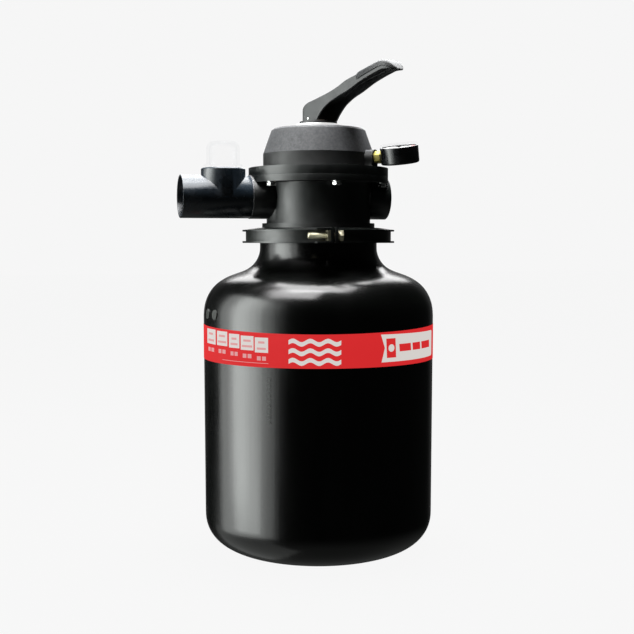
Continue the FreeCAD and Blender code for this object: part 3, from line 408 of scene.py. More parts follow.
def clear_material():
    """Clear moulded plastic: seen through, with a faint grey edge and a soft gloss."""
    made = bpy.data.materials.new("clear_bowl")
    made.use_nodes = True
    tree = made.node_tree
    tree.nodes.clear()
    out = tree.nodes.new("ShaderNodeOutputMaterial")
    through = tree.nodes.new("ShaderNodeBsdfTransparent")
    gloss = tree.nodes.new("ShaderNodeBsdfGlossy")
    gloss.inputs["Roughness"].default_value = 0.06
    gloss.inputs["Color"].default_value = (0.75, 0.77, 0.78, 1)
    facing = tree.nodes.new("ShaderNodeLayerWeight")
    facing.inputs["Blend"].default_value = 0.35
    shares = tree.nodes.new("ShaderNodeValToRGB")
    set_stops(shares, (0.15, 0.002), (1.0, 0.012))
    tints = tree.nodes.new("ShaderNodeValToRGB")
    set_stops(tints, (0.0, 0.997), (1.0, (0.965, 0.967, 0.97)))
    ripple = noise(made, 60, 2)
    bump = node(made, "ShaderNodeBump", Strength=0.12, Distance=0.1 * MM)
    mix = tree.nodes.new("ShaderNodeMixShader")
    link(made, ripple, "Fac", bump, "Height")
    link(made, bump, "Normal", gloss, "Normal")
    link(made, facing, "Facing", shares, "Fac")
    link(made, facing, "Facing", tints, "Fac")
    link(made, tints, "Color", through, "Color")
    link(made, shares, "Color", mix, "Fac")
    link(made, through, "BSDF", mix, 1)
    link(made, gloss, "BSDF", mix, 2)
    link(made, mix, "Shader", out, "Surface")
    return made


def sand_material():
    made = material("filter_sand", (0.55, 0.46, 0.33), 0.9)
    vary_colour(made, (0.36, 0.29, 0.2), (0.74, 0.64, 0.48), 700, 6)
    grains = node(made, "ShaderNodeTexVoronoi", Scale=800.0)
    link(made, coordinates(made), "Vector", grains, "Vector")
    bumps(made, (grains, "Distance", 0.9, 0.5))
    return made


def painted_glow(made, colour, strength):
    """Painted light: make a pale part glow with emission, so that it keeps its colour where little
    light reaches it.
    """
    shader = principled(made)
    shader.inputs["Emission Color"].default_value = (*colour, 1)
    shader.inputs["Emission Strength"].default_value = strength
    return made


def printed(name, colour, roughness=0.8, glow_share=0.0):
    """Printed film: even matte ink with a faint pull round the tank. A glow share above nought
    makes that share of its colour glow as painted light.
    """
    made = material(name, tuple(c * (1 - glow_share) for c in colour), roughness, specular=0.08)
    low = tuple(c * 0.93 * (1 - glow_share) for c in colour)
    high = tuple(min(1, c * 1.05) * (1 - glow_share) for c in colour)
    vary_colour(made, low, high, 40, 5, (1, 1, 3))
    vary_roughness(made, roughness - 0.05, roughness + 0.08, 90)
    bumps(made, (noise(made, 70, 4, (1, 1, 0.05)), "Fac", 0.12, 0.1))
    if glow_share:
        painted_glow(made, colour, glow_share)
    return made


TANK = tank_material()
LID = textured_plastic()
# the lid's upright band is a darker grey: painted shade, for the shade that face is in
LID_BAND_SHADE = moulded("lid_band_painted_shade", (0.017, 0.0175, 0.0175), 0.5, 500, 0.06, specular=0.3)
# the moulded marks are matte and a paler grey than the tank: the paler grey is painted light, for
# the light their relief catches
MARK_LIT = moulded("tank_mark", (0.018, 0.02, 0.018), 0.5, 500, 0.05)
CLEAR = clear_material()
SAND = sand_material()
VALVE = moulded("valve_black_satin", (0.007, 0.0088, 0.0082), 0.37, 700, 0.03)
CLAMP = moulded("clamp_black", (0.006, 0.008, 0.007), 0.34, 600, 0.03)
TEE = moulded("tee_black_gloss", (0.012, 0.019, 0.027), 0.27, 300, 0.015, coat=0.1)
HANDLE = moulded("handle_grey", (0.022, 0.0235, 0.0245), 0.42, 800, 0.04, specular=0.35)
# the grip's colour carries a painted highlight, lighter towards its tip
GRIP = grip_painted_highlight()
BLACK = moulded("selector_black", (0.006, 0.006, 0.0065), 0.45, 600, 0.04)
# the white plate and slip washers glow with painted light, so they stay white where little light
# reaches them
WHITE = painted_glow(moulded("plate_white", (0.5, 0.5, 0.49), 0.4, 500, 0.02), (0.9, 0.9, 0.89), 0.75)
# the beige bush glows with painted light, so it shows pale inside the handle's shade
BUSH = painted_glow(moulded("bush_beige", (0.3, 0.25, 0.2), 0.5, 500, 0.02), (0.35, 0.29, 0.24), 0.5)
PIPE = moulded("pipe_white", (0.8, 0.8, 0.77), 0.42, 300, 0.03)
RUBBER = moulded("seal_rubber", (0.01, 0.01, 0.01), 0.72, 500, 0.05)
GLUE = moulded("solvent_glue", (0.12, 0.12, 0.13), 0.3, 300, 0.1)
STEEL = metal("stainless", (0.6, 0.6, 0.59), 0.22)
ZINC = metal("zinc_yellow", (0.5, 0.47, 0.34), 0.33, metallic=0.92)
BRASS = metal("gauge_brass", (0.46, 0.39, 0.1), 0.5, metallic=0.5)
CASE = moulded("gauge_case_black", (0.008, 0.009, 0.0115), 0.27, 300, 0.01, coat=0.1)
# the dial and its red arc glow with painted light, so they stay evenly lit
DIAL = printed("dial_white", (0.92, 0.92, 0.92), 0.6, 0.9)
INK_BLACK = printed("ink_black", (0.02, 0.02, 0.02), 0.6)
INK_RED = printed("ink_red", (0.75, 0.08, 0.07), 0.6, 0.8)
# the label band and its marks mostly glow with painted light, so the print looks evenly lit with
# no gloss on it
BAND = printed("band_red", (0.745, 0.027, 0.03), 0.8, 0.86)
BAND_WHITE = printed("band_white", (0.76, 0.72, 0.69), 0.8, 0.86)
BAND_PINK = printed("band_pink", (0.78, 0.36, 0.36), 0.8, 0.86)

# the seals and inner parts keep their CAD meshes
SEALS = ("neck_oring", "riser_oring", "lid_oring", "sight_oring", "shaft_orings", "gauge_seal")
PIPES = ("riser_pipe", "lateral_hub", "top_diffuser", *(f"lateral_{n}" for n in range(1, 9)))
for made, names in (
    (RUBBER, (*SEALS, "spider_gasket")),
    (PIPE, PIPES),
    (BRASS, ("gauge_tube", "gauge_movement", "lid_inserts")),
    (WHITE, ("lower_slip_washer", "upper_slip_washer")),
    (BLACK, ("rotor",)),
    (SAND, ("sand_bed",)),
    (DIAL, ("gauge_dial",)),
    (INK_BLACK, ("gauge_needle",)),
    (CLEAR, ("gauge_lens",)),
):
    for name in names:
        mesh = frame["nodes"][name].data
        mesh.materials.clear()
        mesh.materials.append(made)

# -------------------- sizes from the frame, mm

base_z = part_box("tank_shell")[0][2] / MM
joint_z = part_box("tank_shell")[1][2] / MM
band_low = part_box("label_band")[0][2] / MM
band_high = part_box("label_band")[1][2] / MM
joints = {joint["name"]: joint for joint in frame["joints"]}
pin_z = joints["handle_press"]["pos_m"][2] / MM
press_axis = Vector(joints["handle_press"]["axis"])
lever_turn = math.atan2(press_axis.y, press_axis.x)
gauge_centre = Vector(joints["needle_turn"]["pos_m"])
gauge_normal = Vector(joints["needle_turn"]["axis"]).normalized()

# -------------------- tank

# radii and heights in millimetres; the wall widens evenly from the foot to the shoulder
TANK_FOOT = 149.8
TANK_SHOULDER = 151.0
SHOULDER_Z = 369.0
SHOULDER_START = 311
SHOULDER_ARC = 58.0
FOOT_REACH = 66
FOOT_RISE = 50
NECK_R = 76.7
NECK_BORE = 70
RIM_R = 89
RIM_LOW = 406
GROOVE_IN = 73.5
GROOVE_OUT = 77.7
GROOVE_DEEP = 3.5
WALL = 5
HOLLOW_TOP = 364


def foot_curve(reach, rise, power, steps=28):
    """The rounded foot of the tank, flatter below and tighter at the corner than an arc."""
    points = []
    for k in range(steps + 1):
        t = math.pi / 2 * (1 - k / steps)
        out = math.cos(t) ** (2 / power) if k else 0.0
        up = math.sin(t) ** (2 / power) if k < steps else 0.0
        z = base_z + rise * (1 - up)
        wall = TANK_FOOT + (TANK_SHOULDER - TANK_FOOT) * z / SHOULDER_Z
        points.append((wall - reach + reach * out, z))
    return points


def spline(points, steps=4):
    """A smooth curve through points."""
    made = []
    for i in range(len(points) - 1):
        before = Vector(points[max(0, i - 1)])
        here = Vector(points[i])
        there = Vector(points[i + 1])
        after = Vector(points[min(len(points) - 1, i + 2)])
        for k in range(steps):
            t = k / steps
            made.append(
                0.5
                * (
                    2 * here
                    + (there - before) * t
                    + (2 * before - 5 * here + 4 * there - after) * t * t
                    + (3 * here - before - 3 * there + after) * t**3
                )
            )
    return [tuple(p) for p in made] + [points[-1]]


# (radius, height) points up the shoulder and into the crease under the clamp
SHOULDER = [(150.9, 309), (150.2, 318), (148.3, 327), (144.6, 336), (139.4, 344), (132.6, 350.8)]
SHOULDER += [(125, 356), (117, 360.0), (108.5, 363.2), (100.5, 366), (93.5, 369.2), (87.6, 373.4)]
SHOULDER += [(83.2, 378.2), (80.2, 383), (78.2, 388), (77.1, 392.6), (76.8, 397)]
turned(
    "tank_body",
    [
        (0, base_z + 3),
        (60, base_z + 3, 4),
        (FOOT_REACH, base_z, 3),
        *foot_curve(FOOT_REACH, FOOT_RISE, 2.3),
        *spline(SHOULDER),
        (NECK_R, RIM_LOW, 1.2),
        (RIM_R, RIM_LOW, 0.8),
        (RIM_R, joint_z, 0.8),
        (79, joint_z),
        (GROOVE_OUT, joint_z),
        (GROOVE_OUT, joint_z - GROOVE_DEEP),
        (GROOVE_IN, joint_z - GROOVE_DEEP),
        (GROOVE_IN, joint_z),
        (NECK_BORE, joint_z, 0.6),
        (NECK_BORE, HOLLOW_TOP, 8),
        (145.5, HOLLOW_TOP, 53),
        (144.2, WALL, 55),
        (0, WALL),
    ],
    TANK,
    "tank",
    ["tank_shell"],
    "tank_black",
    segments=256,
    steps=20,
)


def tank_radius(z):
    """The tank's outer radius at a height: its wall, then an arc close to the shoulder."""
    if z <= SHOULDER_START:
        return TANK_FOOT + (TANK_SHOULDER - TANK_FOOT) * z / SHOULDER_Z
    rise = z - SHOULDER_START
    return TANK_SHOULDER - 58.2 + math.sqrt(max(0, SHOULDER_ARC**2 - rise**2))


def wrap(name, outline, low, high, made, cells=None):
    """A thin raised shape that follows the tank, from an outline of (degrees, height) points.

    Low and high are its depths off the surface, and cells is the height of its rows of faces.
    """
    bm = bmesh.new()
    flat = [bm.verts.new((math.radians(a), z * MM, 0)) for a, z in outline]
    face = bm.faces.new(flat)
    bmesh.ops.triangulate(bm, faces=[face])
    angles = [a for a, _ in outline]
    first = math.floor(min(angles))
    for k in range(int(max(angles)) - first + 1):
        a = math.radians(first + k)
        geometry = bm.verts[:] + bm.edges[:] + bm.faces[:]
        bmesh.ops.bisect_plane(bm, geom=geometry, plane_co=(a, 0, 0), plane_no=(1, 0, 0))
    if cells:
        heights = [z for _, z in outline]
        z = min(heights) + cells
        while z < max(heights):
            geometry = bm.verts[:] + bm.edges[:] + bm.faces[:]
            bmesh.ops.bisect_plane(bm, geom=geometry, plane_co=(0, z * MM, 0), plane_no=(0, 1, 0))
            z += cells
    upper = bmesh.ops.extrude_face_region(bm, geom=bm.faces[:])
    raised = {v for v in upper["geom"] if isinstance(v, bmesh.types.BMVert)}
    for v in bm.verts:
        a, z = v.co.x, v.co.y
        r = (tank_radius(z / MM) + (high if v in raised else low)) * MM
        v.co = (r * math.sin(a), -r * math.cos(a), z)
    bmesh.ops.recalc_face_normals(bm, faces=bm.faces)
    mesh = bpy.data.meshes.new(name)
    bm.to_mesh(mesh)
    bm.free()
    shade(mesh, 40)
    return add_object(name, mesh, made, "tank")


TANK_MEAN = 150


def ring_outline(angle, z, outer, inner, steps=28):
    """A ring cut open at one side, as one outline on the tank's surface."""
    per_degree = math.pi * TANK_MEAN / 180
    points = []
    for radius, order in ((outer, 1), (inner, -1)):
        for k in range(steps + 1):
            turn = order * 2 * math.pi * k / steps * 0.995
            across = angle + radius * math.cos(turn) / per_degree
            points.append((across, z + radius * math.sin(turn)))
    return points


# angles on the tank are in degrees from the camera's side, which is turned by VIEW_TURN
VIEW_TURN = -16.0
MARK_Z = 313.5
BAR_HALF = 0.5
BAR_RISE = 3.4
BLOCK_FIRST = 186
BLOCK_STEP = 6.4
BLOCK_TALL = 4
BLOCK_SIDES = (-23.9, -22.4)
SEAM_HALF = 0.16
SEAM_LOW = 62
SEAM_HIGH = 352
# the raised marks below are painted paler than the tank, standing for light caught by their relief
for index, angle in enumerate((-68.5, -59.5)):
    shape = ring_outline(angle + VIEW_TURN, MARK_Z, 6.4, 5.0)
    wrap(f"shoulder_mark_{index + 1}", shape, -0.6, 1.1, MARK_LIT, cells=3)
    left = angle + VIEW_TURN - BAR_HALF
    right = angle + VIEW_TURN + BAR_HALF
    bar = [(left, MARK_Z - BAR_RISE), (right, MARK_Z - BAR_RISE)]
    bar += [(right, MARK_Z + BAR_RISE), (left, MARK_Z + BAR_RISE)]
    wrap(f"shoulder_bar_{index + 1}", bar, -0.6, 1.1, MARK_LIT, cells=3)
for index in range(9):
    foot = BLOCK_FIRST + BLOCK_STEP * index
    left, right = (side + VIEW_TURN for side in BLOCK_SIDES)
    block = [(left, foot), (right, foot), (right, foot + BLOCK_TALL), (left, foot + BLOCK_TALL)]
    wrap(f"wall_mark_{index + 1}", block, -0.3, 0.6, MARK_LIT)
for side, name in ((90, "seam_right"), (-90, "seam_left")):
    strip = [(side - SEAM_HALF, SEAM_LOW), (side + SEAM_HALF, SEAM_LOW)]
    strip += [(side + SEAM_HALF, SEAM_HIGH), (side - SEAM_HALF, SEAM_HIGH)]
    wrap(name, strip, -0.4, 0.35, TANK, cells=4)

# -------------------- label band


band = turned(
    "label_sleeve",
    [
        (tank_radius(band_low) + 0.05, band_low),
        (tank_radius(band_low) + 0.42, band_low, 0.15),
        (tank_radius(band_high) + 0.42, band_high, 0.15),
        (tank_radius(band_high) + 0.05, band_high),
    ],
    BAND,
    "tank",
    ["label_band"],
    "band_red",
    segments=256,
    steps=3,
)
# both edges of the band bow upward, the upper one most at the sides
LOW_BOW = 0.8
LOW_FALL = 0.6
HIGH_BOW = 3.2
for vertex in band.data.vertices:
    turn = math.atan2(vertex.co.x, -vertex.co.y) - math.radians(VIEW_TURN)
    share = (vertex.co.z / MM - band_low) / (band_high - band_low)
    low_rise = (1 - share) * (LOW_BOW - LOW_FALL * math.sin(turn) ** 2)
    high_rise = share * HIGH_BOW * math.sin(turn) ** 2
    vertex.co.z += MM * (low_rise + high_rise)
LABEL_TOP = 0.47
LABEL_STEP = 0.04


def label(name, outline, made, level=0):
    """A printed mark on the band; a higher level lies over a lower one."""
    turned = [(a + VIEW_TURN, z) for a, z in outline]
    return wrap(name, turned, 0.3, LABEL_TOP + LABEL_STEP * level, made)


def slab(left, right, low, high, slant=0.0):
    """A four-sided outline in degrees and millimetres, leaning by a slant at the top."""
    return [(left, low), (right, low), (right + slant, high), (left + slant, high)]


# the five pale cells: their sides in degrees, then their feet and tops in millimetres
CELLS = ((-69.6, -58.4), (-56.9, -48.0), (-46.7, -39.6), (-38.7, -31.2), (-30.5, -23.5))
FEET = (276.4, 276.4, 275.4, 274.0, 272.0)
TOPS = (295.2, 294.4, 292.6, 291.4, 290.2)
for index, (left, right) in enumerate(CELLS):
    foot = FEET[index]
    top = TOPS[index]
    label(f"label_cell_{index + 1}", slab(left, right, foot, top), BAND_WHITE)
    middle = (left + right) / 2
    width = (right - left) * (0.24 + 0.05 * (index % 2))
    rule = slab(middle - width, middle + width, top - 7.2, top - 4.6)
    label(f"label_rule_{index + 1}", rule, BAND_PINK, 1)
    width *= 1.4
    line = slab(middle - width, middle + width, foot + 3.4, foot + 6.0)
    label(f"label_line_{index + 1}", line, BAND_PINK, 1)
    width = (right - left) * 0.34
    for side, start in (("a", middle - width), ("b", middle + 0.15 * width)):
        tag = slab(start, start + 0.85 * width, foot - 9.6, foot - 4.6)
        label(f"label_tag_{index + 1}{side}", tag, BAND_PINK)
label("label_foot", slab(-52, -23.4, 258.9, 259.5), BAND_PINK)


def wave(left, right, middle, thick, height, steps=36):
    """A ribbon that rises and falls three times, as a plain sign for water."""
    upper = []
    lower = []
    for k in range(steps + 1):
        part = k / steps
        a = left + (right - left) * part
        z = middle + height * math.sin(part * 6 * math.pi)
        upper.append((a, z + thick / 2))
        lower.append((a, z - thick / 2))
    return lower + upper[::-1]


for index, middle in enumerate((262.5, 274.0, 285.5)):
    label(f"label_wave_{index + 1}", wave(-13.6, 10.4, middle, 5.4, 2.1), BAND_WHITE)

PANEL = [(30.4, 259.6), (73.4, 259.4), (74.4, 261.4), (74.4, 290.4), (73.4, 292.0)]
PANEL += [(30.0, 293.4), (32.2, 277)]
label("label_panel", PANEL, BAND_WHITE)
label("label_block", slab(33.4, 38.9, 264.6, 288.2, -0.5), BAND, 1)
label("label_ring", ring_outline(36.0, 276.4, 4.6, 2.4), BAND_WHITE, 2)
for index, (left, right) in enumerate(((41.2, 49.4), (50.8, 57.6), (59.0, 69.4))):
    label(f"label_dash_{index + 1}", slab(left, right, 271.4, 280.6, -0.4), BAND, 1)

# -------------------- clamp and its bolts

for side in ("left", "right"):
    dressed(f"clamp_half_{side}", CLAMP, 0.4, 2)
dressed("clamp_washers", ZINC, 0.2, 2)
dressed("clamp_nuts", ZINC, 0.5, 2)


def thread_mesh(radius, length, pitch, depth, plain=0.0, point=0.8, segments=40):
    """A rod along +Z with a real helical thread above its plain shank, and chamfered ends."""
    per_turn = 10
    rows = int(length / pitch * per_turn)
    verts = [(0, 0, 0)]
    faces = []
    for row in range(rows + 1):
        z = length * row / rows
        for k in range(segments):
            a = 2 * math.pi * k / segments
            phase = (z / pitch - k / segments) % 1.0
            fall = depth * (1 - abs(2 * phase - 1))
            r = radius - (fall if z > plain else 0)
            edge = min(z, length - z)
            r = min(r, radius - max(0, point - edge))
            verts.append((r * math.cos(a), r * math.sin(a), z))
    verts.append((0, 0, length))
    for k in range(segments):
        m = (k + 1) % segments
        faces.append((0, 1 + m, 1 + k))
        for row in range(rows):
            low = 1 + row * segments
            high = low + segments
            faces.append((low + k, low + m, high + m, high + k))
        last = 1 + rows * segments
        faces.append((len(verts) - 1, last + k, last + m))
    return verts, faces


def hex_prism(radius, low, high, cut=0.7, sides=48):
    """A six-sided head whose corners are chamfered at both ends, along +Z."""
    rings = []
    flat = radius * math.cos(math.pi / 6)
    levels = ((low, flat - cut), (low + cut, None), (high - cut, None), (high, flat - cut))
    for z, round_to in levels:
        row = []
        for k in range(sides):
            a = 2 * math.pi * k / sides
            nearest = round((a - math.pi / 6) / (math.pi / 3)) * math.pi / 3 + math.pi / 6
            hexed = flat / math.cos(a - nearest)
            r = hexed if round_to is None else min(hexed, round_to + cut * 0.55)
            row.append((r * math.cos(a), r * math.sin(a), z))
        rings.append(row)
    verts = [p for row in rings for p in row]
    faces = []
    for i in range(len(rings) - 1):
        for k in range(sides):
            m = (k + 1) % sides
            here = i * sides
            there = here + sides
            faces.append((here + k, here + m, there + m, there + k))
    faces.append(tuple(range(sides))[::-1])
    faces.append(tuple((len(rings) - 1) * sides + k for k in range(sides)))
    return verts, faces


def joined(name, parts, angle=32):
    """One mesh from (verts, faces, matrix) parts, the matrices working in millimetres."""
    verts = []
    faces = []
    for part_verts, part_faces, matrix in parts:
        start = len(verts)
        verts += [tuple(matrix @ Vector(v)) for v in part_verts]
        faces += [tuple(start + i for i in face) for face in part_faces]
    return mesh_from(name, verts, faces, None, angle)


def aimed(position, direction, turn=0.0):
    """A matrix in millimetres that takes +Z to a direction at a position."""
    axis = Vector(direction).normalized()
    aim = axis.to_track_quat("Z", "Y").to_matrix().to_4x4()
    return Matrix.Translation(Vector(position)) @ aim @ Matrix.Rotation(turn, 4, "Z")


CLAMP_TURN = math.radians(-95.8)
BOLT_OUT = 106.3
HEAD_FACE = 6.4
BOLT_R = 3.98
BOLT_LONG = 38.4
BOLT_PITCH = 1.25
BOLT_CUT = 0.4
BOLT_PLAIN = 4
BOLT_HEAD_R = 7.5
BOLT_HEAD = 5.3
parts = []
for turn in (CLAMP_TURN, CLAMP_TURN + math.pi):
    spin = Matrix.Rotation(turn, 4, "Z")
    seat = (BOLT_OUT, HEAD_FACE, joint_z)
    rod = thread_mesh(BOLT_R, BOLT_LONG, BOLT_PITCH, BOLT_CUT, BOLT_PLAIN)
    parts.append((*rod, spin @ aimed(seat, (0, -1, 0))))
    parts.append((*hex_prism(BOLT_HEAD_R, 0, BOLT_HEAD), spin @ aimed(seat, (0, 1, 0))))
bolts = joined("clamp_bolt_set", parts)
add_object("clamp_bolt_set", bolts, ZINC, "tank", ["clamp_bolts"])

# -------------------- valve

dressed("valve_body", VALVE, 0.6, 2)
# the lid is smooth below its flange's top, a smooth darker grey up to its knee and textured above;
# the band's darker grey is painted shade
KNEE_Z = 519.0
KNEE_R = 71.5
FLANGE_Z = 500.6
lid_look = dressed("lid", LID, 0.9, 3)
lid_look.data.materials.append(VALVE)
lid_look.data.materials.append(LID_BAND_SHADE)
for polygon in lid_look.data.polygons:
    if polygon.center.z / MM < FLANGE_Z:
        polygon.material_index = 1
    elif polygon.center.z / MM < KNEE_Z:
        polygon.material_index = 2
for edge in lid_look.data.edges:
    ends = [lid_look.data.vertices[i].co / MM for i in edge.vertices]
    if all(abs(end.z - KNEE_Z) < 0.05 and math.hypot(end.x, end.y) > KNEE_R for end in ends):
        edge.use_edge_sharp = True
dressed("lid_washers", STEEL, 0.15, 1)

SCREW_TURNS = (0, 60, 140, 220, 300)
PITCH_R = 84.6
SCREW_R = 2.98
SCREW_PITCH = 1.0
SCREW_CUT = 0.5
SCREW_PLAIN = 4
SCREW_HEAD_R = 5.77
SCREW_HEAD = 4.2
low_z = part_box("lid_screws")[0][2] / MM
high_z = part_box("lid_screws")[1][2] / MM
screw_parts = []
for turn in SCREW_TURNS:
    a = math.radians(turn)
    up = aimed((PITCH_R * math.sin(a), -PITCH_R * math.cos(a), low_z), (0, 0, 1), a)
    shank = up @ Matrix.Translation((0, 0, SCREW_PLAIN))
    rod = thread_mesh(SCREW_R, high_z - low_z - SCREW_PLAIN, SCREW_PITCH, SCREW_CUT, SCREW_PLAIN)
    screw_parts.append((*rod, shank))
    screw_parts.append((*hex_prism(SCREW_HEAD_R, 0, SCREW_HEAD, 0.5), up))
screws = joined("lid_screw_set", screw_parts)
add_object("lid_screw_set", screws, STEEL, "tank", ["lid_screws"])

# the spring is drawn again with a fine bevel, then given a copy of its mesh
spring = dressed("rotor_spring", STEEL, 0.02, 1)
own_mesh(spring)

# -------------------- position plate and handle

PLATE_BORE = 9
PLATE_R = 29
TICK_IN = 24.8
TICK_OUT = 28
TICK_HALF = 0.35
TICK_HIGH = 0.12
plate_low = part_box("position_plate")[0][2] / MM
plate_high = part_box("position_plate")[1][2] / MM
turned(
    "position_disc",
    [
        (PLATE_BORE, plate_low),
        (PLATE_R, plate_low, 0.4),
        (PLATE_R, plate_high, 0.8),
        (PLATE_BORE, plate_high),
    ],
    WHITE,
    "tank",
    ["position_plate"],
    "plate_white",
    segments=96,
    steps=4,
)
BOX_FACES = [(3, 2, 1, 0), (4, 5, 6, 7), (0, 1, 5, 4), (1, 2, 6, 5), (2, 3, 7, 6), (3, 0, 4, 7)]


def bar_corners(inner, outer, half, low, high):
    """The eight corners of a flat bar that lies along X, in the order BOX_FACES reads them."""
    sides = ((inner, -half), (outer, -half), (outer, half), (inner, half))
    return [(x, y, z) for z in (low, high) for x, y in sides]


sector_parts = []
for k in range(6):
    a = math.radians(60 * k + 30)
    box_verts = bar_corners(TICK_IN, TICK_OUT, TICK_HALF, 0, TICK_HIGH)
    place = Matrix.Translation((0, 0, plate_high)) @ Matrix.Rotation(a, 4, "Z")
    sector_parts.append((box_verts, BOX_FACES, place))
add_object("position_marks", joined("position_marks", sector_parts), INK_BLACK, "tank")
dressed("handle_washer", BLACK, 0.4, 2)

LEVER = Matrix.Rotation(lever_turn, 4, "Z")


def track(points, s):
    """A smooth value at s through (s, value) points, by monotone cubic pieces."""
    if s <= points[0][0]:
        return points[0][1]
    if s >= points[-1][0]:
        return points[-1][1]
    for i in range(len(points) - 1):
        s0, v0 = points[i]
        s1, v1 = points[i + 1]
        if s0 <= s <= s1:
            break
    span = s1 - s0
    slope = (v1 - v0) / span
    before = slope if i == 0 else (v0 - points[i - 1][1]) / (s0 - points[i - 1][0])
    after = slope
    if i + 2 < len(points):
        after = (points[i + 2][1] - v1) / (points[i + 2][0] - s1)
    m0 = 0 if slope * before <= 0 else 2 * slope * before / (slope + before)
    m1 = 0 if slope * after <= 0 else 2 * slope * after / (slope + after)
    t = (s - s0) / span
    return (
        v0 * (2 * t**3 - 3 * t**2 + 1)
        + m0 * span * (t**3 - 2 * t**2 + t)
        + v1 * (-2 * t**3 + 3 * t**2)
        + m1 * span * (t**3 - t**2)
    )


# heights are above the pin, distances run from the pin towards the tip
LEVER_TOP = (
    (-10.5, 10.4), (-9.6, 14.2), (-7.2, 17.4), (-3.2, 19.9), (1.5, 21.5), (14, 24.6), (28, 28.8),
    (40, 33.4), (48, 37.2), (62, 44.2), (79, 49.4), (95, 53.8), (109, 57.6), (119, 59.6),
    (126, 59.2), (131, 56.6), (134.5, 53.2), (137.2, 50.6),
)
LEVER_LOW = (
    (-10.5, -2.7), (14.6, -2.7), (16.6, -0.6), (20, 4.4), (27, 11.6), (34, 17.2), (43, 22),
    (52, 26), (64, 30.4), (88, 41.2), (112, 49.2), (122, 51.6), (130, 51.2), (137.2, 49.6),
)
LEVER_HALF = (
    (-10.5, 18.6), (-9.6, 19.3), (-7, 19.5), (20, 19.4), (34, 17.8), (54, 15.4), (80, 14.4),
    (120, 14.4), (126, 13.6), (132, 11.2), (137.2, 5.2),
)


def channel_section(half, low, top, wall, roof, edge):
    """Half the outline of an upside-down channel: its outside upwards, then its inside down."""
    edge = min(edge, half * 0.6, max(0.3, (top - low) * 0.45))
    outer = [(half, low)]
    for k in range(7):
        a = math.pi / 2 * k / 6
        outer.append((half - edge + edge * math.cos(a), top - edge + edge * math.sin(a)))
    outer.append((half * 0.35, top + 0.25))
    outer.append((0, top + 0.35))
    inner_half = max(0.4, half - wall)
    ceiling = max(low + 0.15, top - roof)
    soft = min(1.6, inner_half * 0.5, max(0.1, (ceiling - low) * 0.45))
    inner = [(0, ceiling), (inner_half * 0.4, ceiling)]
    for k in range(5):
        a = math.pi / 2 * (1 - k / 4)
        inner.append(
            (inner_half - soft + soft * math.cos(a), ceiling - soft + soft * math.sin(a))
        )
    inner.append((inner_half, low))
    return outer, inner


def channel_loft(stations, wall, roof, edge, tops=LEVER_TOP, lows=LEVER_LOW, halves=LEVER_HALF):
    """Loft the lever's channel along its length."""
    verts = []
    size = 0
    for s in stations:
        outer, inner = channel_section(
            track(halves, s), track(lows, s), track(tops, s), wall, roof, edge
        )
        loop = outer + [(-x, z) for x, z in reversed(outer[:-1])]
        loop += [(-x, z) for x, z in reversed(inner)] + inner[1:]
        size = len(loop)
        verts += [(x, -s, z + pin_z) for x, z in loop]
    faces = []
    for i in range(len(stations) - 1):
        for k in range(size):
            m = (k + 1) % size
            faces.append((i * size + k, i * size + m, (i + 1) * size + m, (i + 1) * size + k))
    return verts, faces, size


OUTER_COUNT = 10


def close_channel(faces, size, row):
    """Close an end with quads between the walls; OUTER_COUNT is half the outside's points."""
    start = row * size
    for k in range(OUTER_COUNT * 2 - 2):
        a = start + k
        b = start + k + 1
        opposite = size - 1 - k
        c = start + opposite - 1
        d = start + opposite
        if len({a, b, c, d}) == 4:
            faces.append((a, b, c, d))


def lever_mesh():
    """The lever: an open channel that narrows to a rounded tip."""
    stations = [-10.5, -10.1, -9.6, -8.8, -7.4, -5.5, -2, 1.5, 5, 9, 12, 14.6, 15.6, 16.6, 18, 20]
    stations += [22, 24.5, 27, 30, 34, 38, 41, 44, 47, 50, 54, 58, 62, 66, 70, 74, 78, 82, 86, 90]
    stations += [95, 100, 105, 109, 113, 117, 120, 123, 126, 128.5, 130.5, 132.5, 134.2, 135.6]
    stations += [136.6, 137.2]
    verts, faces, size = channel_loft(stations, 2.6, 2.6, 2.2)
    close_channel(faces, size, 0)
    close_channel(faces, size, len(stations) - 1)
    return verts, faces


verts, faces = lever_mesh()
add_object(
    "handle_lever",
    mesh_from("handle_lever", verts, faces, LEVER, 50),
    HANDLE,
    "handle",
    ["handle"],
)


HEEL_BACK = 10.2
HEEL_FRONT = 7.8


def heel_wall():
    """The wall that closes the heel of the lever behind the pin."""
    points = [(16.6, z) for z in (-2.7, -1, 2, 6, 9, 11)]
    for a in range(0, 91, 15):
        turn = math.radians(a)
        points.append((13.4 + 3.0 * math.cos(turn), 12.2 + 3.0 * math.sin(turn)))
    outline = points + [(-x, z) for x, z in reversed(points)]
    count = len(outline)
    verts = [(x, y, z + pin_z) for y in (HEEL_BACK, HEEL_FRONT) for x, z in outline]
    faces = [tuple(range(count)), tuple(range(2 * count - 1, count - 1, -1))]
    for k in range(count):
        m = (k + 1) % count
        faces.append((k, m, count + m, count + k))
    return verts, faces


verts, faces = heel_wall()
add_object("handle_heel", mesh_from("handle_heel", verts, faces, LEVER), HANDLE, "handle")

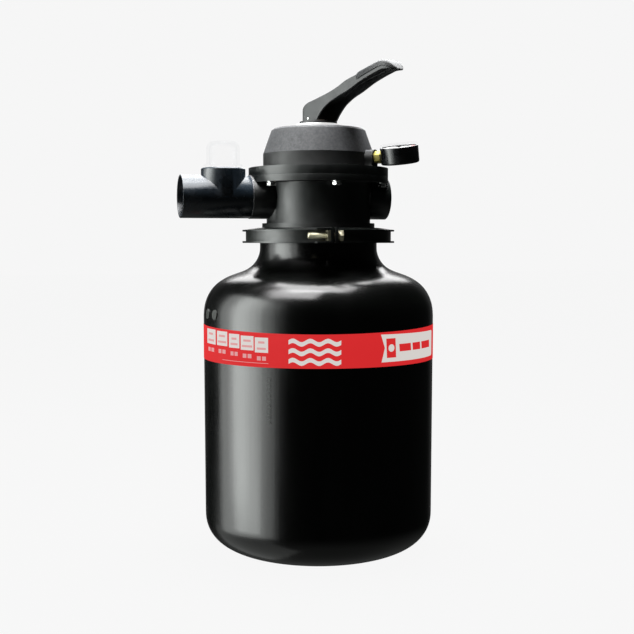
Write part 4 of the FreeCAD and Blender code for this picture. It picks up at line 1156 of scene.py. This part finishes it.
GRIP_TOP = (
    (79.2, 49.4), (80.2, 50.9), (82.0, 52.2), (95, 56.2), (109, 60.4), (117, 62.4), (123, 62.6),
    (128, 61.2), (132, 58.4), (135.6, 54.6), (138.5, 50.8),
)
GRIP_LOW = (
    (79.2, 42.6), (95, 48.2), (109, 52.8), (119, 55.2), (126, 54.8), (132, 52.8), (136, 50.8),
    (138.5, 49.8),
)
GRIP_HALF = (
    (79.2, 14.2), (80.2, 15.2), (82.0, 15.6), (118, 15.6), (126, 14.9), (132, 12.4), (136, 8.6),
    (138.5, 4.0),
)
stations = [79.2, 79.6, 80.2, 81, 82, 84, 87, 91, 95, 99, 103, 106, 109, 112, 115, 118, 121, 123]
stations += [125, 127, 128.8, 130.5, 132, 133.4, 134.7, 135.8, 136.8, 137.7, 138.5]
verts, faces, size = channel_loft(stations, 1.3, 2.1, 3.8, GRIP_TOP, GRIP_LOW, GRIP_HALF)
close_channel(faces, size, 0)
close_channel(faces, size, len(stations) - 1)
grip = add_object("handle_grip", mesh_from("handle_grip", verts, faces, LEVER, 50), GRIP, "handle")
grip_start, grip_end = stations[0], stations[-1]
# along runs from the grip's foot to its tip and drives the painted highlight in its colour
along = grip.data.attributes.new("along", "FLOAT", "POINT")
for vertex in grip.data.vertices:
    s = -(LEVER.inverted() @ vertex.co).y / MM
    along.data[vertex.index].value = (s - grip_start) / (grip_end - grip_start)

PIN_R = 1.5
PIN_HALF = 19.9
pin_mesh = lathe_mesh(
    "handle_cross_pin",
    [(0, -PIN_HALF), (PIN_R, -PIN_HALF, 0.4), (PIN_R, PIN_HALF, 0.4), (0, PIN_HALF)],
    segments=32,
    steps=4,
    matrix=LEVER
    @ Matrix.Translation((0, 0, pin_z * MM))
    @ Matrix.Rotation(math.pi / 2, 4, "Y"),
)
add_object("handle_cross_pin", pin_mesh, STEEL, "rotor", ["handle_pin"])
BUSH_BORE = 7.4
BUSH_R = 12.5
bush_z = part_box("handle_washer")[1][2] / MM
bush_top = bush_z + 1.6
turned(
    "shaft_bush",
    [
        (BUSH_BORE, bush_z),
        (BUSH_R, bush_z, 0.3),
        (BUSH_R, bush_top, 0.5),
        (BUSH_BORE, bush_top),
    ],
    BUSH,
    "rotor",
    segments=64,
    steps=4,
)

# -------------------- sight tee and glass

dressed("sight_tee", TEE, 0.6, 3)
dressed("sight_glass", CLEAR, 0.3, 2)
PORT_Z = 462.5
GLUE_X = -92.2
seam = lathe_mesh(
    "glue_line",
    [(27.2, -0.9), (28.1, -0.7, 0.3), (28.2, 0.5, 0.3), (27.2, 0.8)],
    segments=72,
    steps=3,
    matrix=Matrix.Translation((GLUE_X * MM, 0, PORT_Z * MM))
    @ Matrix.Rotation(math.pi / 2, 4, "Y"),
)
add_object("glue_line", seam, GLUE, "tank")

# -------------------- gauge

dressed("gauge_case", CASE, 0.3, 2)
dressed("gauge_stem", BRASS, 0.4, 2)

gauge_out = Vector((gauge_centre.x, gauge_centre.y, 0)).normalized()
gauge_side = gauge_normal.cross(gauge_out).normalized()
gauge_along = gauge_side.cross(gauge_normal).normalized()
GAUGE = Matrix(
    (
        (gauge_along.x, gauge_side.x, gauge_normal.x, gauge_centre.x),
        (gauge_along.y, gauge_side.y, gauge_normal.y, gauge_centre.y),
        (gauge_along.z, gauge_side.z, gauge_normal.z, gauge_centre.z),
        (0, 0, 0, 1),
    )
)
# the dial's print, in millimetres from the needle's pivot
DIAL_TOP = 8.92
PRINT_IN = 17.6
TICK_END = 19.6
ARC_OUT = 20.1
ARC_START = 14
ARC_STEP = 5
tick_parts = []
red_parts = []
for k in range(31):
    a = math.radians(-135 + 9 * k)
    long = k % 5 == 0
    inner = PRINT_IN if long else PRINT_IN + 1
    half = 0.2 if long else 0.1
    box_verts = bar_corners(inner, TICK_END, half, DIAL_TOP, 9.02)
    turn = Matrix.Rotation(a, 4, "Z")
    tick_parts.append((box_verts, BOX_FACES, turn))
for k in range(10):
    a = math.radians(ARC_START + ARC_STEP * k)
    b = math.radians(ARC_START + ARC_STEP * (k + 1))
    ring_verts = []
    for z in (DIAL_TOP, 9.0):
        for r, t in ((PRINT_IN, a), (ARC_OUT, a), (ARC_OUT, b), (PRINT_IN, b)):
            ring_verts.append((r * math.cos(t), r * math.sin(t), z))
    red_parts.append((ring_verts, BOX_FACES, Matrix.Identity(4)))


def to_gauge(mesh):
    """Move a mesh from the dial's own axes to its place on the valve."""
    mesh.transform(GAUGE)
    return mesh


add_object("gauge_ticks", to_gauge(joined("gauge_ticks", tick_parts)), INK_BLACK, "tank")
add_object("gauge_red_arc", to_gauge(joined("gauge_red_arc", red_parts)), INK_RED, "tank")

# -------------------- stage, camera and light


def point_at(thing, target):
    direction = Vector(target) - thing.location
    thing.rotation_euler = direction.to_track_quat("-Z", "Y").to_euler()


PAPER = (0.922, 0.922, 0.922, 1)


def studio_material():
    """A floor that glows as pale as the background and takes almost no light."""
    made = bpy.data.materials.new("studio_floor")
    made.use_nodes = True
    shader = principled(made)
    shader.inputs["Base Color"].default_value = (0.004, 0.004, 0.004, 1)
    shader.inputs["Roughness"].default_value = 0.9
    shader.inputs["Specular IOR Level"].default_value = 0.0
    shader.inputs["Emission Color"].default_value = PAPER
    shader.inputs["Emission Strength"].default_value = 0.995
    return made


FLOOR_HALF = 12.0
floor_mesh = bpy.data.meshes.new("floor")
floor_mesh.from_pydata(
    [(x * FLOOR_HALF, y * FLOOR_HALF, 0) for x, y in ((-1, -1), (1, -1), (1, 1), (-1, 1))],
    [],
    [(0, 1, 2, 3)],
)
floor = placed("floor", floor_mesh)
floor.location.z = -0.0004
floor_mesh.materials.append(studio_material())
floor.visible_glossy = False
floor.visible_diffuse = False
floor.visible_shadow = False

# metres, as fitted to the round edges seen in the photograph
CAMERA_AWAY = 1.45
CAMERA_HEIGHT = 0.407
CAMERA_PITCH = math.radians(4.0)
view_turn = math.radians(VIEW_TURN)
camera_data = bpy.data.cameras.new("camera")
camera = placed("camera", camera_data)
camera.location = (
    CAMERA_AWAY * math.sin(view_turn),
    -CAMERA_AWAY * math.cos(view_turn),
    CAMERA_HEIGHT,
)
camera.rotation_euler = (math.pi / 2 - CAMERA_PITCH, 0, view_turn)
camera_data.sensor_width = 36
camera_data.lens = 62.35
camera_data.shift_x = -0.0021
bpy.context.scene.camera = camera


def softbox(name, turn, height, away, width, tall, power, aim, sees, colour=(1, 1, 1)):
    """A rectangular light at a turn from the camera's side, seen by matte or gloss alone."""
    data = bpy.data.lights.new(name, "AREA")
    data.shape = "RECTANGLE"
    data.size = width
    data.size_y = tall
    data.energy = power
    data.color = colour
    light = placed(name, data)
    a = math.radians(turn + VIEW_TURN)
    light.location = (away * math.sin(a), -away * math.cos(a), height)
    point_at(light, aim)
    light.visible_camera = False
    light.visible_transmission = False
    light.visible_diffuse = sees == "matte"
    light.visible_glossy = sees == "gloss"


GREENISH = (0.96, 1.0, 0.975)
softbox("left_wall", -82, 0.62, 1.7, 0.8, 2.0, 10, (0, 0, 0.45), "gloss", GREENISH)
softbox("left_front", -72, 0.58, 1.7, 1.0, 2.2, 33, (0, 0, 0.42), "gloss", GREENISH)
softbox("left_wide", -76, 0.5, 1.9, 2.6, 2.7, 54, (0, 0, 0.4), "gloss", GREENISH)
softbox("left_low", -90, -1.5, 1.5, 3.0, 2.2, 9, (0, 0, 0.1), "gloss", GREENISH)
softbox("left_fill", -95, 0.9, 1.8, 1.4, 1.4, 23, (0, 0, 0.45), "matte")
softbox("overhead_fill", 180, 2.1, 0.15, 0.8, 0.8, 170, (0, 0, 0.4), "matte")
softbox("overhead", 180, 1.9, 0.28, 1.2, 1.5, 62, (0, 0, 0.45), "gloss")
softbox("overhead_back", 180, 1.35, 1.35, 1.4, 0.9, 16, (0, 0, 0.4), "gloss")
softbox("tee_top", -38, 0.95, 0.36, 0.5, 0.36, 6.0, (-0.13, 0, 0.46), "gloss")


def studio_world():
    """Pale where the camera looks past the object, dim for what the object mirrors."""
    world = bpy.data.worlds.new("studio")
    bpy.context.scene.world = world
    world.use_nodes = True
    world.node_tree.nodes.clear()
    out = node(world, "ShaderNodeOutputWorld")
    path = node(world, "ShaderNodeLightPath")
    mix = node(world, "ShaderNodeMixShader")
    pale = node(world, "ShaderNodeBackground", Color=PAPER)
    dim = node(world, "ShaderNodeBackground", Strength=1.0)
    place = node(world, "ShaderNodeTexCoord")
    ahead = node(world, "ShaderNodeVectorMath")
    ahead.operation = "DOT_PRODUCT"
    ahead.inputs[1].default_value = (-math.sin(view_turn), math.cos(view_turn), 0.1)
    ahead_glow = node(world, "ShaderNodeValToRGB")
    set_stops(ahead_glow, (0.8, (0.010, 0.011, 0.0105)), (1.0, 0.13))
    down = node(world, "ShaderNodeVectorMath")
    down.operation = "DOT_PRODUCT"
    down.inputs[1].default_value = (0, 0, -1)
    floor_glow = node(world, "ShaderNodeValToRGB")
    set_stops(floor_glow, (0.34, 0.0), (0.75, (0.11, 0.113, 0.11)))
    both = node(world, "ShaderNodeMix")
    both.data_type = "RGBA"
    both.blend_type = "ADD"
    both.inputs["Factor"].default_value = 1.0
    link(world, place, "Generated", ahead, 0)
    link(world, place, "Generated", down, 0)
    link(world, ahead, "Value", ahead_glow, "Fac")
    link(world, down, "Value", floor_glow, "Fac")
    link(world, ahead_glow, "Color", both, 6)
    link(world, floor_glow, "Color", both, 7)
    link(world, both, 2, dim, "Color")
    link(world, path, "Is Camera Ray", mix, "Fac")
    link(world, dim, "Background", mix, 1)
    link(world, pale, "Background", mix, 2)
    link(world, mix, "Shader", out, "Surface")


studio_world()
bpy.context.scene.view_settings.view_transform = "Standard"
